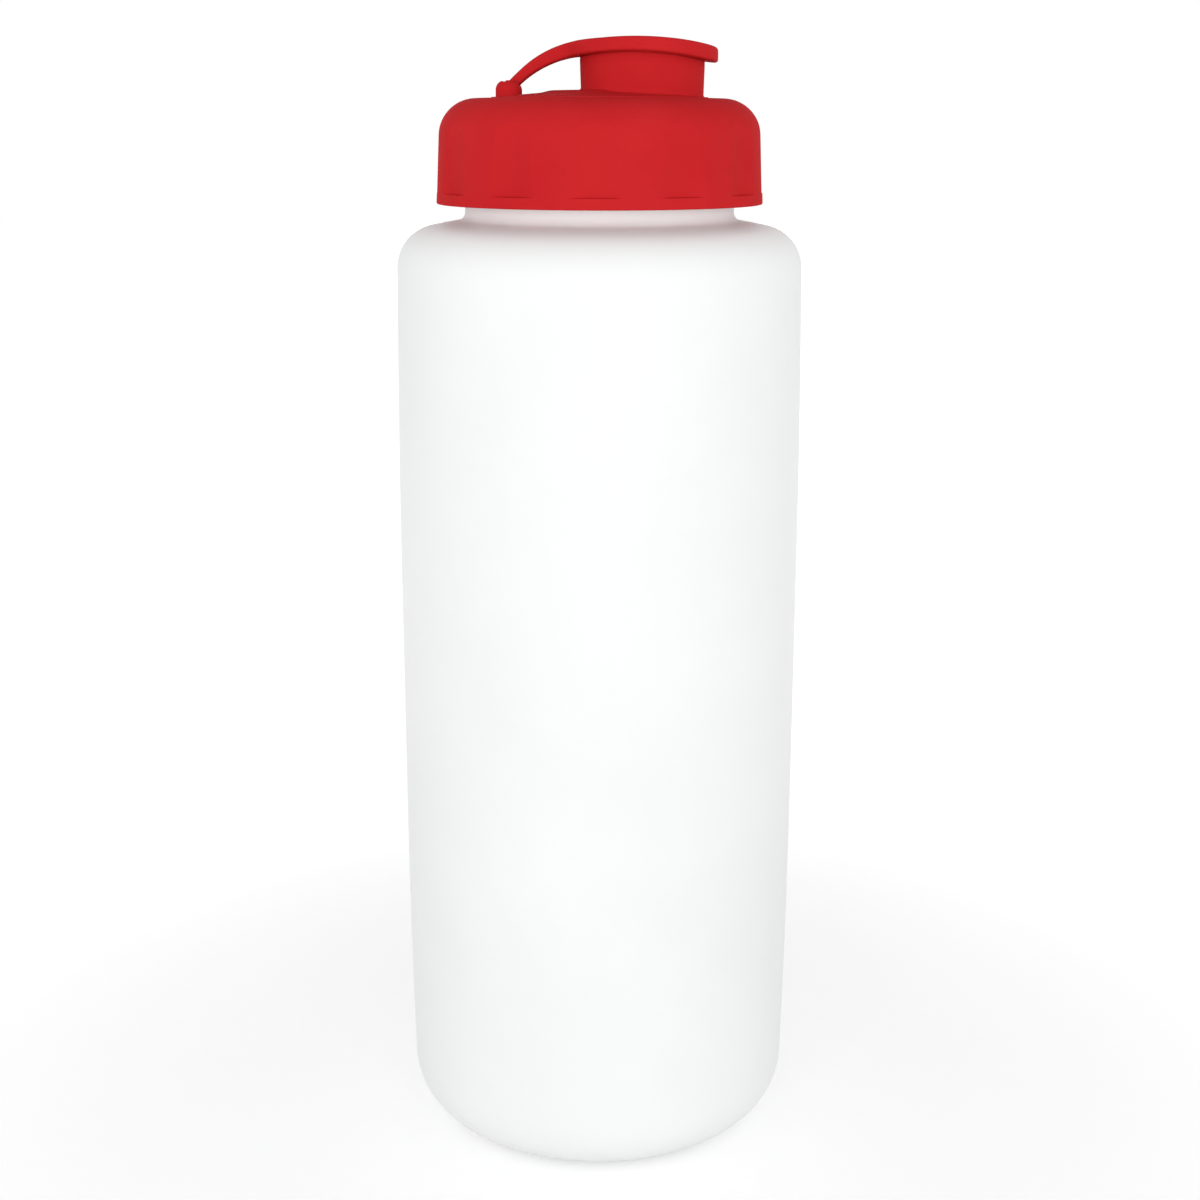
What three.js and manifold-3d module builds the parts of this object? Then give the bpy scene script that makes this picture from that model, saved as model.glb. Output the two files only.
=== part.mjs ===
// Squeeze bottle for sauces: a blow-moulded bottle, a screw lid with an off-centre spout,
// a sealing ring under the lid, and a flip cap that snaps into two ears beside the spout.
// Millimetres, +Z up. The origin is the centre of the base, the spout lies towards +X
// and the flip cap's hinge towards -X.

import * as THREE from 'three';
import { mergeVertices } from 'three/addons/utils/BufferGeometryUtils.js';
import Module from 'manifold-3d';

const wasm = await Module();
wasm.setup();

// Clearances
const SEAT_GAP = 0.25;
const SIDE_GAP = 0.3;
const PIN_GAP = 0.2;
const CUT_OVERRUN = 2;

// Bottle body
const BODY_RADIUS = 43;
const BODY_HEEL_RADIUS = 42;
const BODY_LOWER_RADIUS = 42.7;
const BODY_TOP_RADIUS = 42.5;
const BODY_TOP_HEIGHT = 191;
const BODY_LOWER_SHARE = 0.23;
const BODY_WIDEST_SHARE = 0.71;
const BODY_WALL = 1.4;
const HEEL_ROUND = 14;
const SHOULDER_ROUND = 8.8;
const SHOULDER_SLOPE = THREE.MathUtils.degToRad(10);

// Base: flat standing ring, hollow push-up and the ridge where the mould pinched the tube shut
const STANDING_RING_WIDTH = 4.5;
const PUSH_UP_HEIGHT = 3.6;
const PUSH_UP_SLOPE_WIDTH = 3.2;
const PINCH_LENGTH = 34;
const PINCH_WIDTH = 1.2;
const PINCH_HEIGHT = 0.7;

// Neck and its threaded finish
const NECK_RADIUS = 28.1;
const NECK_FILLET = 1.9;
const NECK_WAIST_HEIGHT = 2;
const MOUTH_RADIUS = 27;
const FINISH_RADIUS = 29.5;
const FINISH_EDGE = 0.5;

// Screw thread, single start and right-handed
const THREAD_LEAD = 5;
const THREAD_HEIGHT = 1.6;
const THREAD_CLEARANCE = 0.5;
const THREAD_BASE_WIDTH = 3.2;
const THREAD_CREST_WIDTH = 1.6;
const THREAD_EMBED = 0.4;
const THREAD_FADE = THREE.MathUtils.degToRad(40);
const BOTTLE_THREAD_TURNS = 1.5;
const BOTTLE_THREAD_DROP = 12.4;
const LID_THREAD_BASE_WIDTH = 2.6;
const LID_THREAD_CREST_WIDTH = 1.3;
const LID_THREAD_TURNS = 1.25;
const LID_THREAD_RISE = 3.3;

// Sealing ring
const GASKET_THICKNESS = 1.5;

// Screw lid
const LID_ABOVE_SHOULDER = 4.28;
const LID_HEIGHT = 21.3;
const LID_RIM_RADIUS = 34.05;
const LID_SKIRT_TOP_RADIUS = 33.4;
const LID_SHOULDER_ROUND = 7.8;
const LID_TOP_THICKNESS = 2.35;
const LID_SHOULDER_WALL = 1.35;
const LID_EDGE_ROUND = 0.3;
const LID_LEAD_IN = 0.6;
const LID_PLUG_WALL = 1.3;
const LID_PLUG_DEPTH = 4;
const LID_PLUG_GAP = 0.5;

// Raised top of the lid: a shallow dome with a centre panel
const DOME_RADIUS = 22.4;
const DOME_RISE = 0.95;
const PANEL_RADIUS = 11.8;
const PANEL_STEP = 0.38;
const PANEL_STEP_WIDTH = 2;
const PANEL_RISE = 0.22;

// Grip flutes round the skirt
const FLUTE_COUNT = 12;
const FLUTE_RADIUS = 30;
const FLUTE_DEPTH = 0.95;
const FLUTE_DRAFT = THREE.MathUtils.degToRad(1);
const FLUTE_LEDGE_HEIGHT = 2.2;
const FLUTE_TURN = THREE.MathUtils.degToRad(-1.2);

// Spout
const SPOUT_OFFSET = 8.75;
const SPOUT_RADIUS = 12.6;
const SPOUT_FLARE = 0.2;
const SPOUT_WALL = 1.8;

// Flip cap: a round disc on an arched strap
const CROWN_HEIGHT = 11.9;
const CROWN_RADIUS = 87.5;
const CROWN_SETBACK = 1.9;
const CAP_DISC_RADIUS = 15.7;
const CAP_THICKNESS = 2.75;
const CAP_EDGE_ROUND = 0.9;
const STRAP_BEND_START = 12.5;
const STRAP_WIDTH = 7.2;
const STRAP_TAIL_THICKNESS = 2;
const STRAP_FLARE_RADIUS = 4.5;
const PLUG_DEPTH = 3.2;
const PLUG_WALL = 1.4;
const PLUG_GAP = 0.3;
const PLUG_TAPER = 1;

// Snap-in hinge of the flip cap
const HINGE_OFFSET = 18.75;
const HINGE_HEIGHT = 1.75;
const PIN_RADIUS = 0.85;
const PIN_LENGTH = 1.9;
const EAR_RADIUS = 2.5;
const EAR_HEIGHT = 3.5;
const EAR_ROUND = 1.9;
const EAR_DEPTH = 3.9;
const SNAP_MOUTH = 1.3;
const SNAP_LEAN = THREE.MathUtils.degToRad(22);
const SNAP_NOTCH_DEPTH = 0.25;
const SNAP_NOTCH_WIDTH = 0.7;

// Facets
const ROUND_STEPS = 60;
const SMALL_ROUND_STEPS = 24;
const THREAD_STEPS_PER_TURN = 36;

// Heights and places that follow from the sizes above. The lid's rim stands clear of the
// bottle's sloping shoulder, and the mouth is as high as the lid and its sealing ring need.
const LID_RIM = shoulderHeight(LID_RIM_RADIUS) + LID_ABOVE_SHOULDER;
const LID_TOP = LID_RIM + LID_HEIGHT;
const LID_UNDERSIDE = LID_TOP - LID_TOP_THICKNESS;
const GASKET_BOTTOM = LID_UNDERSIDE - SEAT_GAP - GASKET_THICKNESS;
const MOUTH_HEIGHT = GASKET_BOTTOM - SEAT_GAP;
const LID_BORE_RADIUS = FINISH_RADIUS + THREAD_HEIGHT + THREAD_CLEARANCE;
const LID_PLUG_RADIUS = MOUTH_RADIUS - LID_PLUG_GAP;

// The lid's shoulder is one round wall: an outer and an inner arc about the same centre
const SHOULDER_CENTRE_RADIUS = LID_SKIRT_TOP_RADIUS - LID_SHOULDER_ROUND;
const SHOULDER_CENTRE_HEIGHT = LID_TOP - LID_SHOULDER_ROUND;
const SHOULDER_INNER_ROUND = LID_SHOULDER_ROUND - LID_SHOULDER_WALL;
const SHOULDER_RISE = LID_UNDERSIDE - SHOULDER_CENTRE_HEIGHT;
const LID_SEAT_RADIUS = SHOULDER_CENTRE_RADIUS + Math.sqrt(SHOULDER_INNER_ROUND ** 2 - SHOULDER_RISE ** 2);

const SPOUT_BORE_RADIUS = SPOUT_RADIUS - SPOUT_WALL;
const HINGE_X = -HINGE_OFFSET;
const HINGE_Z = LID_TOP + HINGE_HEIGHT;

const redPlastic = () => new THREE.MeshStandardMaterial({
  color: 0xcb1f27,
  roughness: 0.42,
  metalness: 0,
});
const whitePlastic = () => new THREE.MeshStandardMaterial({
  color: 0xf4f5f4,
  roughness: 0.38,
  metalness: 0,
});
const softLiner = () => new THREE.MeshStandardMaterial({
  color: 0xe9e7df,
  roughness: 0.7,
  metalness: 0,
});

// A solid from a closed geometry, with its shared corners joined and slivers left out.
function solid(geometry) {
  const bare = geometry.index ? geometry.clone() : geometry;
  bare.deleteAttribute('normal');
  bare.deleteAttribute('uv');
  const merged = mergeVertices(bare, 1e-5);
  const index = Array.from(merged.index.array);
  const kept = [];
  for (let i = 0; i < index.length; i += 3) {
    const [a, b, c] = index.slice(i, i + 3);
    if (a !== b && b !== c && c !== a) kept.push(a, b, c);
  }
  const mesh = new wasm.Mesh({
    numProp: 3,
    vertProperties: new Float32Array(merged.attributes.position.array),
    triVerts: new Uint32Array(kept),
  });
  return new wasm.Manifold(mesh);
}

function geometryOf(manifold) {
  const { vertProperties, triVerts } = manifold.getMesh();
  const geometry = new THREE.BufferGeometry();
  geometry.setAttribute('position', new THREE.BufferAttribute(vertProperties, 3));
  geometry.setIndex(new THREE.BufferAttribute(triVerts, 1));
  geometry.computeVertexNormals();
  return geometry;
}

// Points of an arc in a profile, from one angle to another, both ends included.
function arc(centreX, centreY, radius, from, to, steps) {
  return Array.from({ length: steps + 1 }, (_, i) => {
    const angle = from + (to - from) * i / steps;
    const x = centreX + radius * Math.cos(angle);
    const y = centreY + radius * Math.sin(angle);
    return new THREE.Vector2(x, y);
  });
}

const at = (radius, height) => new THREE.Vector2(radius, height);

// A body of revolution about Z. The profile runs counter-clockwise, as radius and height.
function revolve(profile, steps = ROUND_STEPS) {
  return new THREE.LatheGeometry(profile, steps).rotateX(Math.PI / 2);
}

// A flat outline in X and Z, carried along Y from one side to the other.
function acrossY(outline, halfWidth) {
  const shape = new THREE.Shape(outline);
  const geometry = new THREE.ExtrudeGeometry(shape, { depth: 2 * halfWidth, bevelEnabled: false });
  return geometry.rotateX(Math.PI / 2).translate(0, halfWidth, 0);
}

// A round bar along Y.
function barAlongY(radius, length, steps = SMALL_ROUND_STEPS) {
  return new THREE.CylinderGeometry(radius, radius, length, steps);
}

// A closed solid through a row of sections, each a list of points in the same order.
function loft(sections) {
  const count = sections[0].length;
  const positions = sections.flat().flatMap((p) => [p.x, p.y, p.z]);
  const index = [];
  for (let i = 0; i + 1 < sections.length; i += 1) {
    for (let j = 0; j < count; j += 1) {
      const next = (j + 1) % count;
      const [a, b] = [i * count + j, i * count + next];
      index.push(a, b, b + count, a, b + count, a + count);
    }
  }
  const last = (sections.length - 1) * count;
  for (let j = 1; j + 1 < count; j += 1) {
    index.push(0, j + 1, j);
    index.push(last, last + j, last + j + 1);
  }
  const geometry = new THREE.BufferGeometry();
  geometry.setAttribute('position', new THREE.Float32BufferAttribute(positions, 3));
  geometry.setIndex(index);
  return geometry;
}

// A screw ridge on a round wall: its section climbs by the lead in each turn and sinks
// into the wall at both ends. height is negative for a ridge that points inwards.
function threadRidge({ wallRadius, height, baseWidth, crestWidth, turns, startAngle, startZ }) {
  const sweep = turns * 2 * Math.PI;
  const steps = Math.round(turns * THREAD_STEPS_PER_TURN);
  const outwards = Math.sign(height);
  const sections = [];
  for (let i = 0; i <= steps; i += 1) {
    const turned = sweep * i / steps;
    const fromEnd = Math.min(turned, sweep - turned);
    const full = Math.sin(Math.PI / 2 * Math.min(1, fromEnd / THREAD_FADE));
    const angle = startAngle + turned;
    const z = startZ + THREAD_LEAD * turned / (2 * Math.PI);
    const crest = wallRadius + height * full - outwards * THREAD_EMBED / 2 * (1 - full);
    const root = wallRadius - outwards * THREAD_EMBED;
    const corners = [
      [root, -baseWidth / 2],
      [crest, -crestWidth / 2],
      [crest, crestWidth / 2],
      [root, baseWidth / 2],
    ];
    if (outwards > 0) corners.reverse();
    const place = ([r, dz]) => new THREE.Vector3(r * Math.cos(angle), r * Math.sin(angle), z + dz);
    sections.push(corners.map(place));
  }
  return loft(sections);
}

// Bottle

// Height of the shoulder's slope at a radius, at a depth below the surface: the slope goes on
// from the end of the shoulder's round.
function shoulderHeight(radius, depth = 0) {
  const round = SHOULDER_ROUND - depth;
  const endRadius = BODY_TOP_RADIUS - SHOULDER_ROUND + round * Math.sin(SHOULDER_SLOPE);
  const endHeight = BODY_TOP_HEIGHT + round * Math.cos(SHOULDER_SLOPE);
  return endHeight + (endRadius - radius) * Math.tan(SHOULDER_SLOPE);
}

// The outside of the wall at a depth below its surface, from the heel to the foot of the neck.
function bottleWall(depth, heelSteps, shoulderSteps, bodySteps) {
  const heelCentre = at(BODY_HEEL_RADIUS - HEEL_ROUND, HEEL_ROUND);
  const shoulderCentre = at(BODY_TOP_RADIUS - SHOULDER_ROUND, BODY_TOP_HEIGHT);
  const sideHeight = (share) => HEEL_ROUND + (BODY_TOP_HEIGHT - HEEL_ROUND) * share;
  const side = new THREE.SplineCurve([
    at(BODY_HEEL_RADIUS - depth, HEEL_ROUND),
    at(BODY_LOWER_RADIUS - depth, sideHeight(BODY_LOWER_SHARE)),
    at(BODY_RADIUS - depth, sideHeight(BODY_WIDEST_SHARE)),
    at(BODY_TOP_RADIUS - depth, BODY_TOP_HEIGHT),
  ]).getPoints(bodySteps);
  const shoulderEnd = Math.PI / 2 - SHOULDER_SLOPE;
  return [
    ...arc(heelCentre.x, heelCentre.y, HEEL_ROUND - depth, -Math.PI / 2, 0, heelSteps),
    ...side.slice(1, -1),
    ...arc(shoulderCentre.x, shoulderCentre.y, SHOULDER_ROUND - depth, 0, shoulderEnd, shoulderSteps),
  ];
}

function bottleProfile() {
  const outer = bottleWall(0, 7, 5, 8);
  const inner = bottleWall(BODY_WALL, 4, 3, 5);
  const ringInner = outer[0].x - STANDING_RING_WIDTH;
  const pushUpRadius = ringInner - PUSH_UP_SLOPE_WIDTH;
  const filletX = NECK_RADIUS + NECK_FILLET;
  const filletZ = shoulderHeight(filletX) + NECK_FILLET / Math.cos(SHOULDER_SLOPE);
  const filletFrom = 3 * Math.PI / 2 - SHOULDER_SLOPE;
  const waistTop = filletZ + NECK_WAIST_HEIGHT;
  const finishStep = FINISH_RADIUS - NECK_RADIUS;
  return [
    at(0, PUSH_UP_HEIGHT),
    at(pushUpRadius, PUSH_UP_HEIGHT),
    at(ringInner, 0),
    ...outer,
    ...arc(filletX, filletZ, NECK_FILLET, filletFrom, Math.PI, 4),
    at(NECK_RADIUS, waistTop),
    at(FINISH_RADIUS, waistTop + finishStep),
    at(FINISH_RADIUS, MOUTH_HEIGHT - FINISH_EDGE),
    at(FINISH_RADIUS - FINISH_EDGE, MOUTH_HEIGHT),
    at(MOUTH_RADIUS + FINISH_EDGE, MOUTH_HEIGHT),
    at(MOUTH_RADIUS, MOUTH_HEIGHT - FINISH_EDGE),
    at(MOUTH_RADIUS, shoulderHeight(MOUTH_RADIUS, BODY_WALL)),
    ...inner.reverse(),
    at(ringInner, BODY_WALL),
    at(pushUpRadius, PUSH_UP_HEIGHT + BODY_WALL),
    at(0, PUSH_UP_HEIGHT + BODY_WALL),
  ];
}

const BOTTLE_THREAD_START = MOUTH_HEIGHT - BOTTLE_THREAD_DROP;

function bottle() {
  const thread = threadRidge({
    wallRadius: FINISH_RADIUS,
    height: THREAD_HEIGHT,
    baseWidth: THREAD_BASE_WIDTH,
    crestWidth: THREAD_CREST_WIDTH,
    turns: BOTTLE_THREAD_TURNS,
    startAngle: 0,
    startZ: BOTTLE_THREAD_START,
  });
  const pinchDepth = PINCH_HEIGHT + BODY_WALL / 2;
  const pinch = new THREE.BoxGeometry(PINCH_LENGTH, PINCH_WIDTH, pinchDepth);
  pinch.translate(0, 0, PUSH_UP_HEIGHT - PINCH_HEIGHT + pinchDepth / 2);
  return solid(revolve(bottleProfile())).add(solid(thread)).add(solid(pinch));
}

// Sealing ring: it lies on the bottle's mouth, between the lid's shoulder and its plug ring.
function gasket() {
  const inner = LID_PLUG_RADIUS + SIDE_GAP;
  const outer = LID_SEAT_RADIUS - SIDE_GAP;
  const top = GASKET_BOTTOM + GASKET_THICKNESS;
  const loop = [
    at(inner, GASKET_BOTTOM),
    at(outer, GASKET_BOTTOM),
    at(outer, top),
    at(inner, top),
    at(inner, GASKET_BOTTOM),
  ];
  return solid(revolve(loop));
}

// Screw lid

function lidProfile() {
  const centre = at(SHOULDER_CENTRE_RADIUS, SHOULDER_CENTRE_HEIGHT);
  const innerFrom = Math.asin(SHOULDER_RISE / SHOULDER_INNER_ROUND);
  const innerTo = Math.acos((LID_BORE_RADIUS - centre.x) / SHOULDER_INNER_ROUND);
  const panelFoot = LID_TOP + DOME_RISE;
  const panelEdge = panelFoot + PANEL_STEP;
  const plugInner = LID_PLUG_RADIUS - LID_PLUG_WALL;
  const plugBottom = LID_UNDERSIDE - LID_PLUG_DEPTH;
  return [
    at(0, panelFoot - LID_TOP_THICKNESS),
    at(PANEL_RADIUS, panelFoot - LID_TOP_THICKNESS),
    at(DOME_RADIUS, LID_UNDERSIDE),
    at(plugInner, LID_UNDERSIDE),
    at(plugInner, plugBottom),
    at(LID_PLUG_RADIUS, plugBottom),
    at(LID_PLUG_RADIUS, LID_UNDERSIDE),
    ...arc(centre.x, centre.y, SHOULDER_INNER_ROUND, innerFrom, innerTo, 3),
    at(LID_BORE_RADIUS, LID_RIM + LID_LEAD_IN),
    at(LID_BORE_RADIUS + LID_LEAD_IN, LID_RIM),
    at(LID_RIM_RADIUS - LID_EDGE_ROUND, LID_RIM),
    at(LID_RIM_RADIUS, LID_RIM + LID_EDGE_ROUND),
    ...arc(centre.x, centre.y, LID_SHOULDER_ROUND, 0, Math.PI / 2, 7),
    at(DOME_RADIUS, LID_TOP),
    at(PANEL_RADIUS, panelFoot),
    at(PANEL_RADIUS - PANEL_STEP_WIDTH, panelEdge),
    at(0, panelEdge + PANEL_RISE),
  ];
}

// One flute is the bite of a cylinder that leans in a little. The skirt leans in more, so the
// flute is widest and deepest at its ledge and ends in an arch on the shoulder.
function fluteCutter() {
  const ledge = LID_RIM + FLUTE_LEDGE_HEIGHT;
  const height = LID_HEIGHT - FLUTE_LEDGE_HEIGHT + CUT_OVERRUN;
  const reach = Math.asin(LID_SHOULDER_ROUND / FLUTE_RADIUS);
  const front = LID_RIM_RADIUS - FLUTE_DEPTH;
  const bite = arc(front + FLUTE_RADIUS, 0, FLUTE_RADIUS, Math.PI - reach, Math.PI + reach, 6);
  const back = LID_RIM_RADIUS + LID_SHOULDER_ROUND;
  const shape = new THREE.Shape([...bite, at(back, bite.at(-1).y), at(back, bite[0].y)]);
  const cutter = new THREE.ExtrudeGeometry(shape, { depth: height, bevelEnabled: false });
  const lean = new THREE.Matrix4().makeShear(0, 0, 0, 0, -Math.tan(FLUTE_DRAFT), 0);
  return cutter.applyMatrix4(lean).translate(0, 0, ledge);
}

function lidThread() {
  const startZ = LID_RIM + LID_THREAD_RISE;
  const ahead = (startZ - BOTTLE_THREAD_START) / THREAD_LEAD - 1 / 2;
  return threadRidge({
    wallRadius: LID_BORE_RADIUS,
    height: -THREAD_HEIGHT,
    baseWidth: LID_THREAD_BASE_WIDTH,
    crestWidth: LID_THREAD_CREST_WIDTH,
    turns: LID_THREAD_TURNS,
    startAngle: 2 * Math.PI * ahead,
    startZ,
  });
}

// Centre line of the flip cap in the X and Z plane: a wide arc over the spout, then a
// tighter one that meets it smoothly and runs into the middle of the hinge barrel.
const crownX = SPOUT_OFFSET - CROWN_SETBACK;
const crownRadius = CROWN_RADIUS - CAP_THICKNESS / 2;
const crownCentre = at(crownX, LID_TOP + CROWN_HEIGHT - CROWN_RADIUS);
const bendAngle = Math.asin((SPOUT_OFFSET - STRAP_BEND_START - crownX) / crownRadius);
const bendNormal = at(Math.sin(bendAngle), Math.cos(bendAngle));
const bendPoint = crownCentre.clone().addScaledVector(bendNormal, crownRadius);
const hinge = at(HINGE_X, HINGE_Z);
const bendToHinge = hinge.clone().sub(bendPoint);
const strapRadius = -bendToHinge.lengthSq() / (2 * bendToHinge.dot(bendNormal));
const strapCentre = bendPoint.clone().addScaledVector(bendNormal, -strapRadius);
const hingeAngle = Math.atan2(hinge.x - strapCentre.x, hinge.y - strapCentre.y);
const bendAlong = bendAngle * crownRadius;
const tailAlong = bendAlong + (hingeAngle - bendAngle) * strapRadius;
const discAlong = Math.asin((SPOUT_OFFSET - crownX) / crownRadius) * crownRadius;

// A point of the cap, by its distance along the centre line, its Y and its height above the line.
function onCap(along, y, above) {
  const onStrap = along < bendAlong;
  const angle = onStrap ? bendAngle + (along - bendAlong) / strapRadius : along / crownRadius;
  const centre = onStrap ? strapCentre : crownCentre;
  const reach = (onStrap ? strapRadius : crownRadius) + above;
  return new THREE.Vector3(centre.x + reach * Math.sin(angle), y, centre.y + reach * Math.cos(angle));
}

// Half the thickness of the cap above its centre line (side 1) or below it (side -1). From the
// hinge on, the top fills out along the strap's bend, and the underside from there to the disc.
function capHalfThickness(along, side) {
  const [from, to] = side > 0 ? [tailAlong, bendAlong] : [bendAlong, discAlong];
  const share = THREE.MathUtils.smoothstep(along, from, to);
  return (STRAP_TAIL_THICKNESS + (CAP_THICKNESS - STRAP_TAIL_THICKNESS) * share) / 2;
}

// Spout: a tube whose rim is arched like the underside of the cap.
function spout() {
  const foot = LID_UNDERSIDE + LID_TOP_THICKNESS / 2;
  const top = LID_TOP + CROWN_HEIGHT;
  const wall = revolve([
    at(0, foot),
    at(SPOUT_RADIUS, foot),
    at(SPOUT_RADIUS + SPOUT_FLARE, top),
    at(0, top),
  ]).translate(SPOUT_OFFSET, 0, 0);
  const rimRadius = CROWN_RADIUS - CAP_THICKNESS - SEAT_GAP;
  const half = SPOUT_RADIUS + CUT_OVERRUN;
  const left = Math.acos((SPOUT_OFFSET - half - crownX) / rimRadius);
  const right = Math.acos((SPOUT_OFFSET + half - crownX) / rimRadius);
  const rim = arc(crownCentre.x, crownCentre.y, rimRadius, left, right, 12);
  const above = top + CUT_OVERRUN;
  const outline = [...rim, at(SPOUT_OFFSET + half, above), at(SPOUT_OFFSET - half, above)];
  return solid(wall).subtract(solid(acrossY(outline, half)));
}

function spoutBore() {
  const bottom = LID_UNDERSIDE - CUT_OVERRUN;
  const height = LID_TOP + CROWN_HEIGHT + CUT_OVERRUN - bottom;
  const bore = new THREE.CylinderGeometry(SPOUT_BORE_RADIUS, SPOUT_BORE_RADIUS, height, ROUND_STEPS);
  return bore.rotateX(Math.PI / 2).translate(SPOUT_OFFSET, 0, bottom + height / 2);
}

// Ears: two round pillars with flat inner faces. The pins snap down a leaning mouth that is
// narrower than they are, into round seats that stop short of the ears' outer faces.
function ear() {
  const foot = LID_UNDERSIDE + LID_TOP_THICKNESS / 2;
  const top = LID_TOP + EAR_HEIGHT;
  const pillar = revolve([
    at(0, foot),
    at(EAR_RADIUS, foot),
    ...arc(EAR_RADIUS - EAR_ROUND, top - EAR_ROUND, EAR_ROUND, 0, Math.PI / 2, 4),
    at(0, top),
  ], SMALL_ROUND_STEPS);
  const inner = STRAP_WIDTH / 2 + SIDE_GAP;
  pillar.translate(HINGE_X, inner + EAR_DEPTH - EAR_RADIUS, 0);
  const side = 2 * EAR_RADIUS;
  const trim = new THREE.BoxGeometry(2 * side, side, 2 * side);
  trim.translate(HINGE_X, inner - side / 2, top);
  const seatRadius = PIN_RADIUS + PIN_GAP;
  const seatDepth = PIN_LENGTH + PIN_GAP;
  const seat = barAlongY(seatRadius, 2 * seatDepth).translate(HINGE_X, inner, HINGE_Z);
  const rise = EAR_HEIGHT + CUT_OVERRUN - HINGE_HEIGHT;
  const mouth = new THREE.BoxGeometry(SNAP_MOUTH, 2 * seatDepth, rise).translate(0, 0, rise / 2);
  mouth.rotateY(-SNAP_LEAN).translate(HINGE_X, inner, HINGE_Z);
  const notchX = HINGE_X - (EAR_HEIGHT - HINGE_HEIGHT) * Math.tan(SNAP_LEAN);
  const notchSide = SNAP_NOTCH_DEPTH * 2;
  const notch = new THREE.BoxGeometry(SNAP_NOTCH_WIDTH, 2 * side, notchSide);
  notch.translate(notchX, inner, top);
  return solid(pillar).subtract(solid(trim)).subtract(solid(seat))
    .subtract(solid(mouth)).subtract(solid(notch));
}

function screwLid() {
  let lid = solid(revolve(lidProfile()));
  const cutter = fluteCutter();
  for (let i = 0; i < FLUTE_COUNT; i += 1) {
    const angle = FLUTE_TURN + 2 * Math.PI * i / FLUTE_COUNT;
    lid = lid.subtract(solid(cutter.clone().rotateZ(angle)));
  }
  const leftEar = ear();
  const mirrored = geometryOf(leftEar).rotateZ(Math.PI).translate(2 * HINGE_X, 0, 0);
  lid = lid.add(solid(lidThread())).add(spout()).subtract(solid(spoutBore()));
  return lid.add(leftEar).add(solid(mirrored));
}

// Flip cap

// Half the width of the cap along its centre line: strap, flare and disc.
function capHalfWidth(along) {
  const half = STRAP_WIDTH / 2;
  const flare = STRAP_FLARE_RADIUS;
  const fromDisc = along - discAlong;
  const flareStart = -Math.sqrt((CAP_DISC_RADIUS + flare) ** 2 - (half + flare) ** 2);
  const flareEnd = flareStart * CAP_DISC_RADIUS / (CAP_DISC_RADIUS + flare);
  if (fromDisc <= flareStart) return half;
  if (fromDisc >= flareEnd) return Math.sqrt(CAP_DISC_RADIUS ** 2 - fromDisc ** 2);
  return half + flare - Math.sqrt(flare ** 2 - (fromDisc - flareStart) ** 2);
}

// One rib of the cap: from its spine on top, round the edge, to its spine below. The spine
// point and the edge point are given along the centre line and across it.
function capRib(spineAlong, edgeAlong, edgeY) {
  const width = Math.hypot(edgeAlong - spineAlong, edgeY);
  const edgeSteps = 3;
  const rib = [];
  const push = (inset, drop, side) => {
    const share = 1 - inset / width;
    const along = spineAlong + (edgeAlong - spineAlong) * share;
    const above = side * (capHalfThickness(along, side) - drop);
    rib.push(onCap(along, edgeY * share, above));
  };
  for (const side of [1, -1]) {
    const flatInsets = [[width, 0], [width * 2 / 3, 0], [width / 3, 0]];
    const edgeInsets = Array.from({ length: edgeSteps }, (_, i) => {
      const angle = Math.PI / 2 * (1 - i / (edgeSteps - 1));
      return [CAP_EDGE_ROUND * (1 - Math.cos(angle)), CAP_EDGE_ROUND * (1 - Math.sin(angle))];
    });
    const insets = [...flatInsets, ...edgeInsets];
    if (side < 0) insets.reverse();
    for (const [inset, drop] of insets) push(inset, drop, side);
  }
  return rib;
}

function capPlate() {
  const strapSteps = 20;
  const discSteps = 18;
  const ribs = [];
  const strapRibs = (sign) => Array.from({ length: strapSteps }, (_, i) => {
    const along = tailAlong + (discAlong - tailAlong) * i / strapSteps;
    return capRib(along, along, sign * capHalfWidth(along));
  });
  ribs.push(...strapRibs(-1));
  for (let i = 0; i <= discSteps; i += 1) {
    const angle = Math.PI * (i / discSteps - 1 / 2);
    const along = discAlong + CAP_DISC_RADIUS * Math.cos(angle);
    ribs.push(capRib(discAlong, along, CAP_DISC_RADIUS * Math.sin(angle)));
  }
  ribs.push(...strapRibs(1).reverse());
  const count = ribs[0].length;
  const points = [...ribs.flat(), onCap(tailAlong, 0, 0)];
  const tail = points.length - 1;
  const last = (ribs.length - 1) * count;
  const index = [];
  for (let i = 0; i + 1 < ribs.length; i += 1) {
    for (let j = 0; j + 1 < count; j += 1) {
      const a = i * count + j;
      index.push(a, a + 1, a + count, a + 1, a + count + 1, a + count);
    }
  }
  for (let j = 0; j + 1 < count; j += 1) {
    index.push(tail, j + 1, j);
    index.push(tail, last + j, last + j + 1);
  }
  const geometry = new THREE.BufferGeometry();
  geometry.setAttribute('position', new THREE.Float32BufferAttribute(
    points.flatMap((p) => [p.x, p.y, p.z]), 3));
  geometry.setIndex(index);
  return geometry;
}

// The plug is a hollow ring under the disc. It narrows downwards, so that it swings out of
// the spout without touching the rim.
function capPlug() {
  const radius = SPOUT_BORE_RADIUS - PLUG_GAP;
  const top = onCap(discAlong + radius, 0, 0).z;
  const seat = onCap(discAlong, 0, -CAP_THICKNESS / 2).z;
  const bottom = seat - PLUG_DEPTH;
  const tip = radius - PLUG_TAPER;
  const edge = PLUG_WALL / 4;
  return revolve([
    at(radius - PLUG_WALL, top),
    at(tip - PLUG_WALL + edge, bottom + edge),
    at(tip - PLUG_WALL / 2, bottom),
    at(tip, bottom + edge),
    at(radius, seat),
    at(radius, top),
    at(radius - PLUG_WALL, top),
  ]).translate(SPOUT_OFFSET, 0, 0);
}

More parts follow.
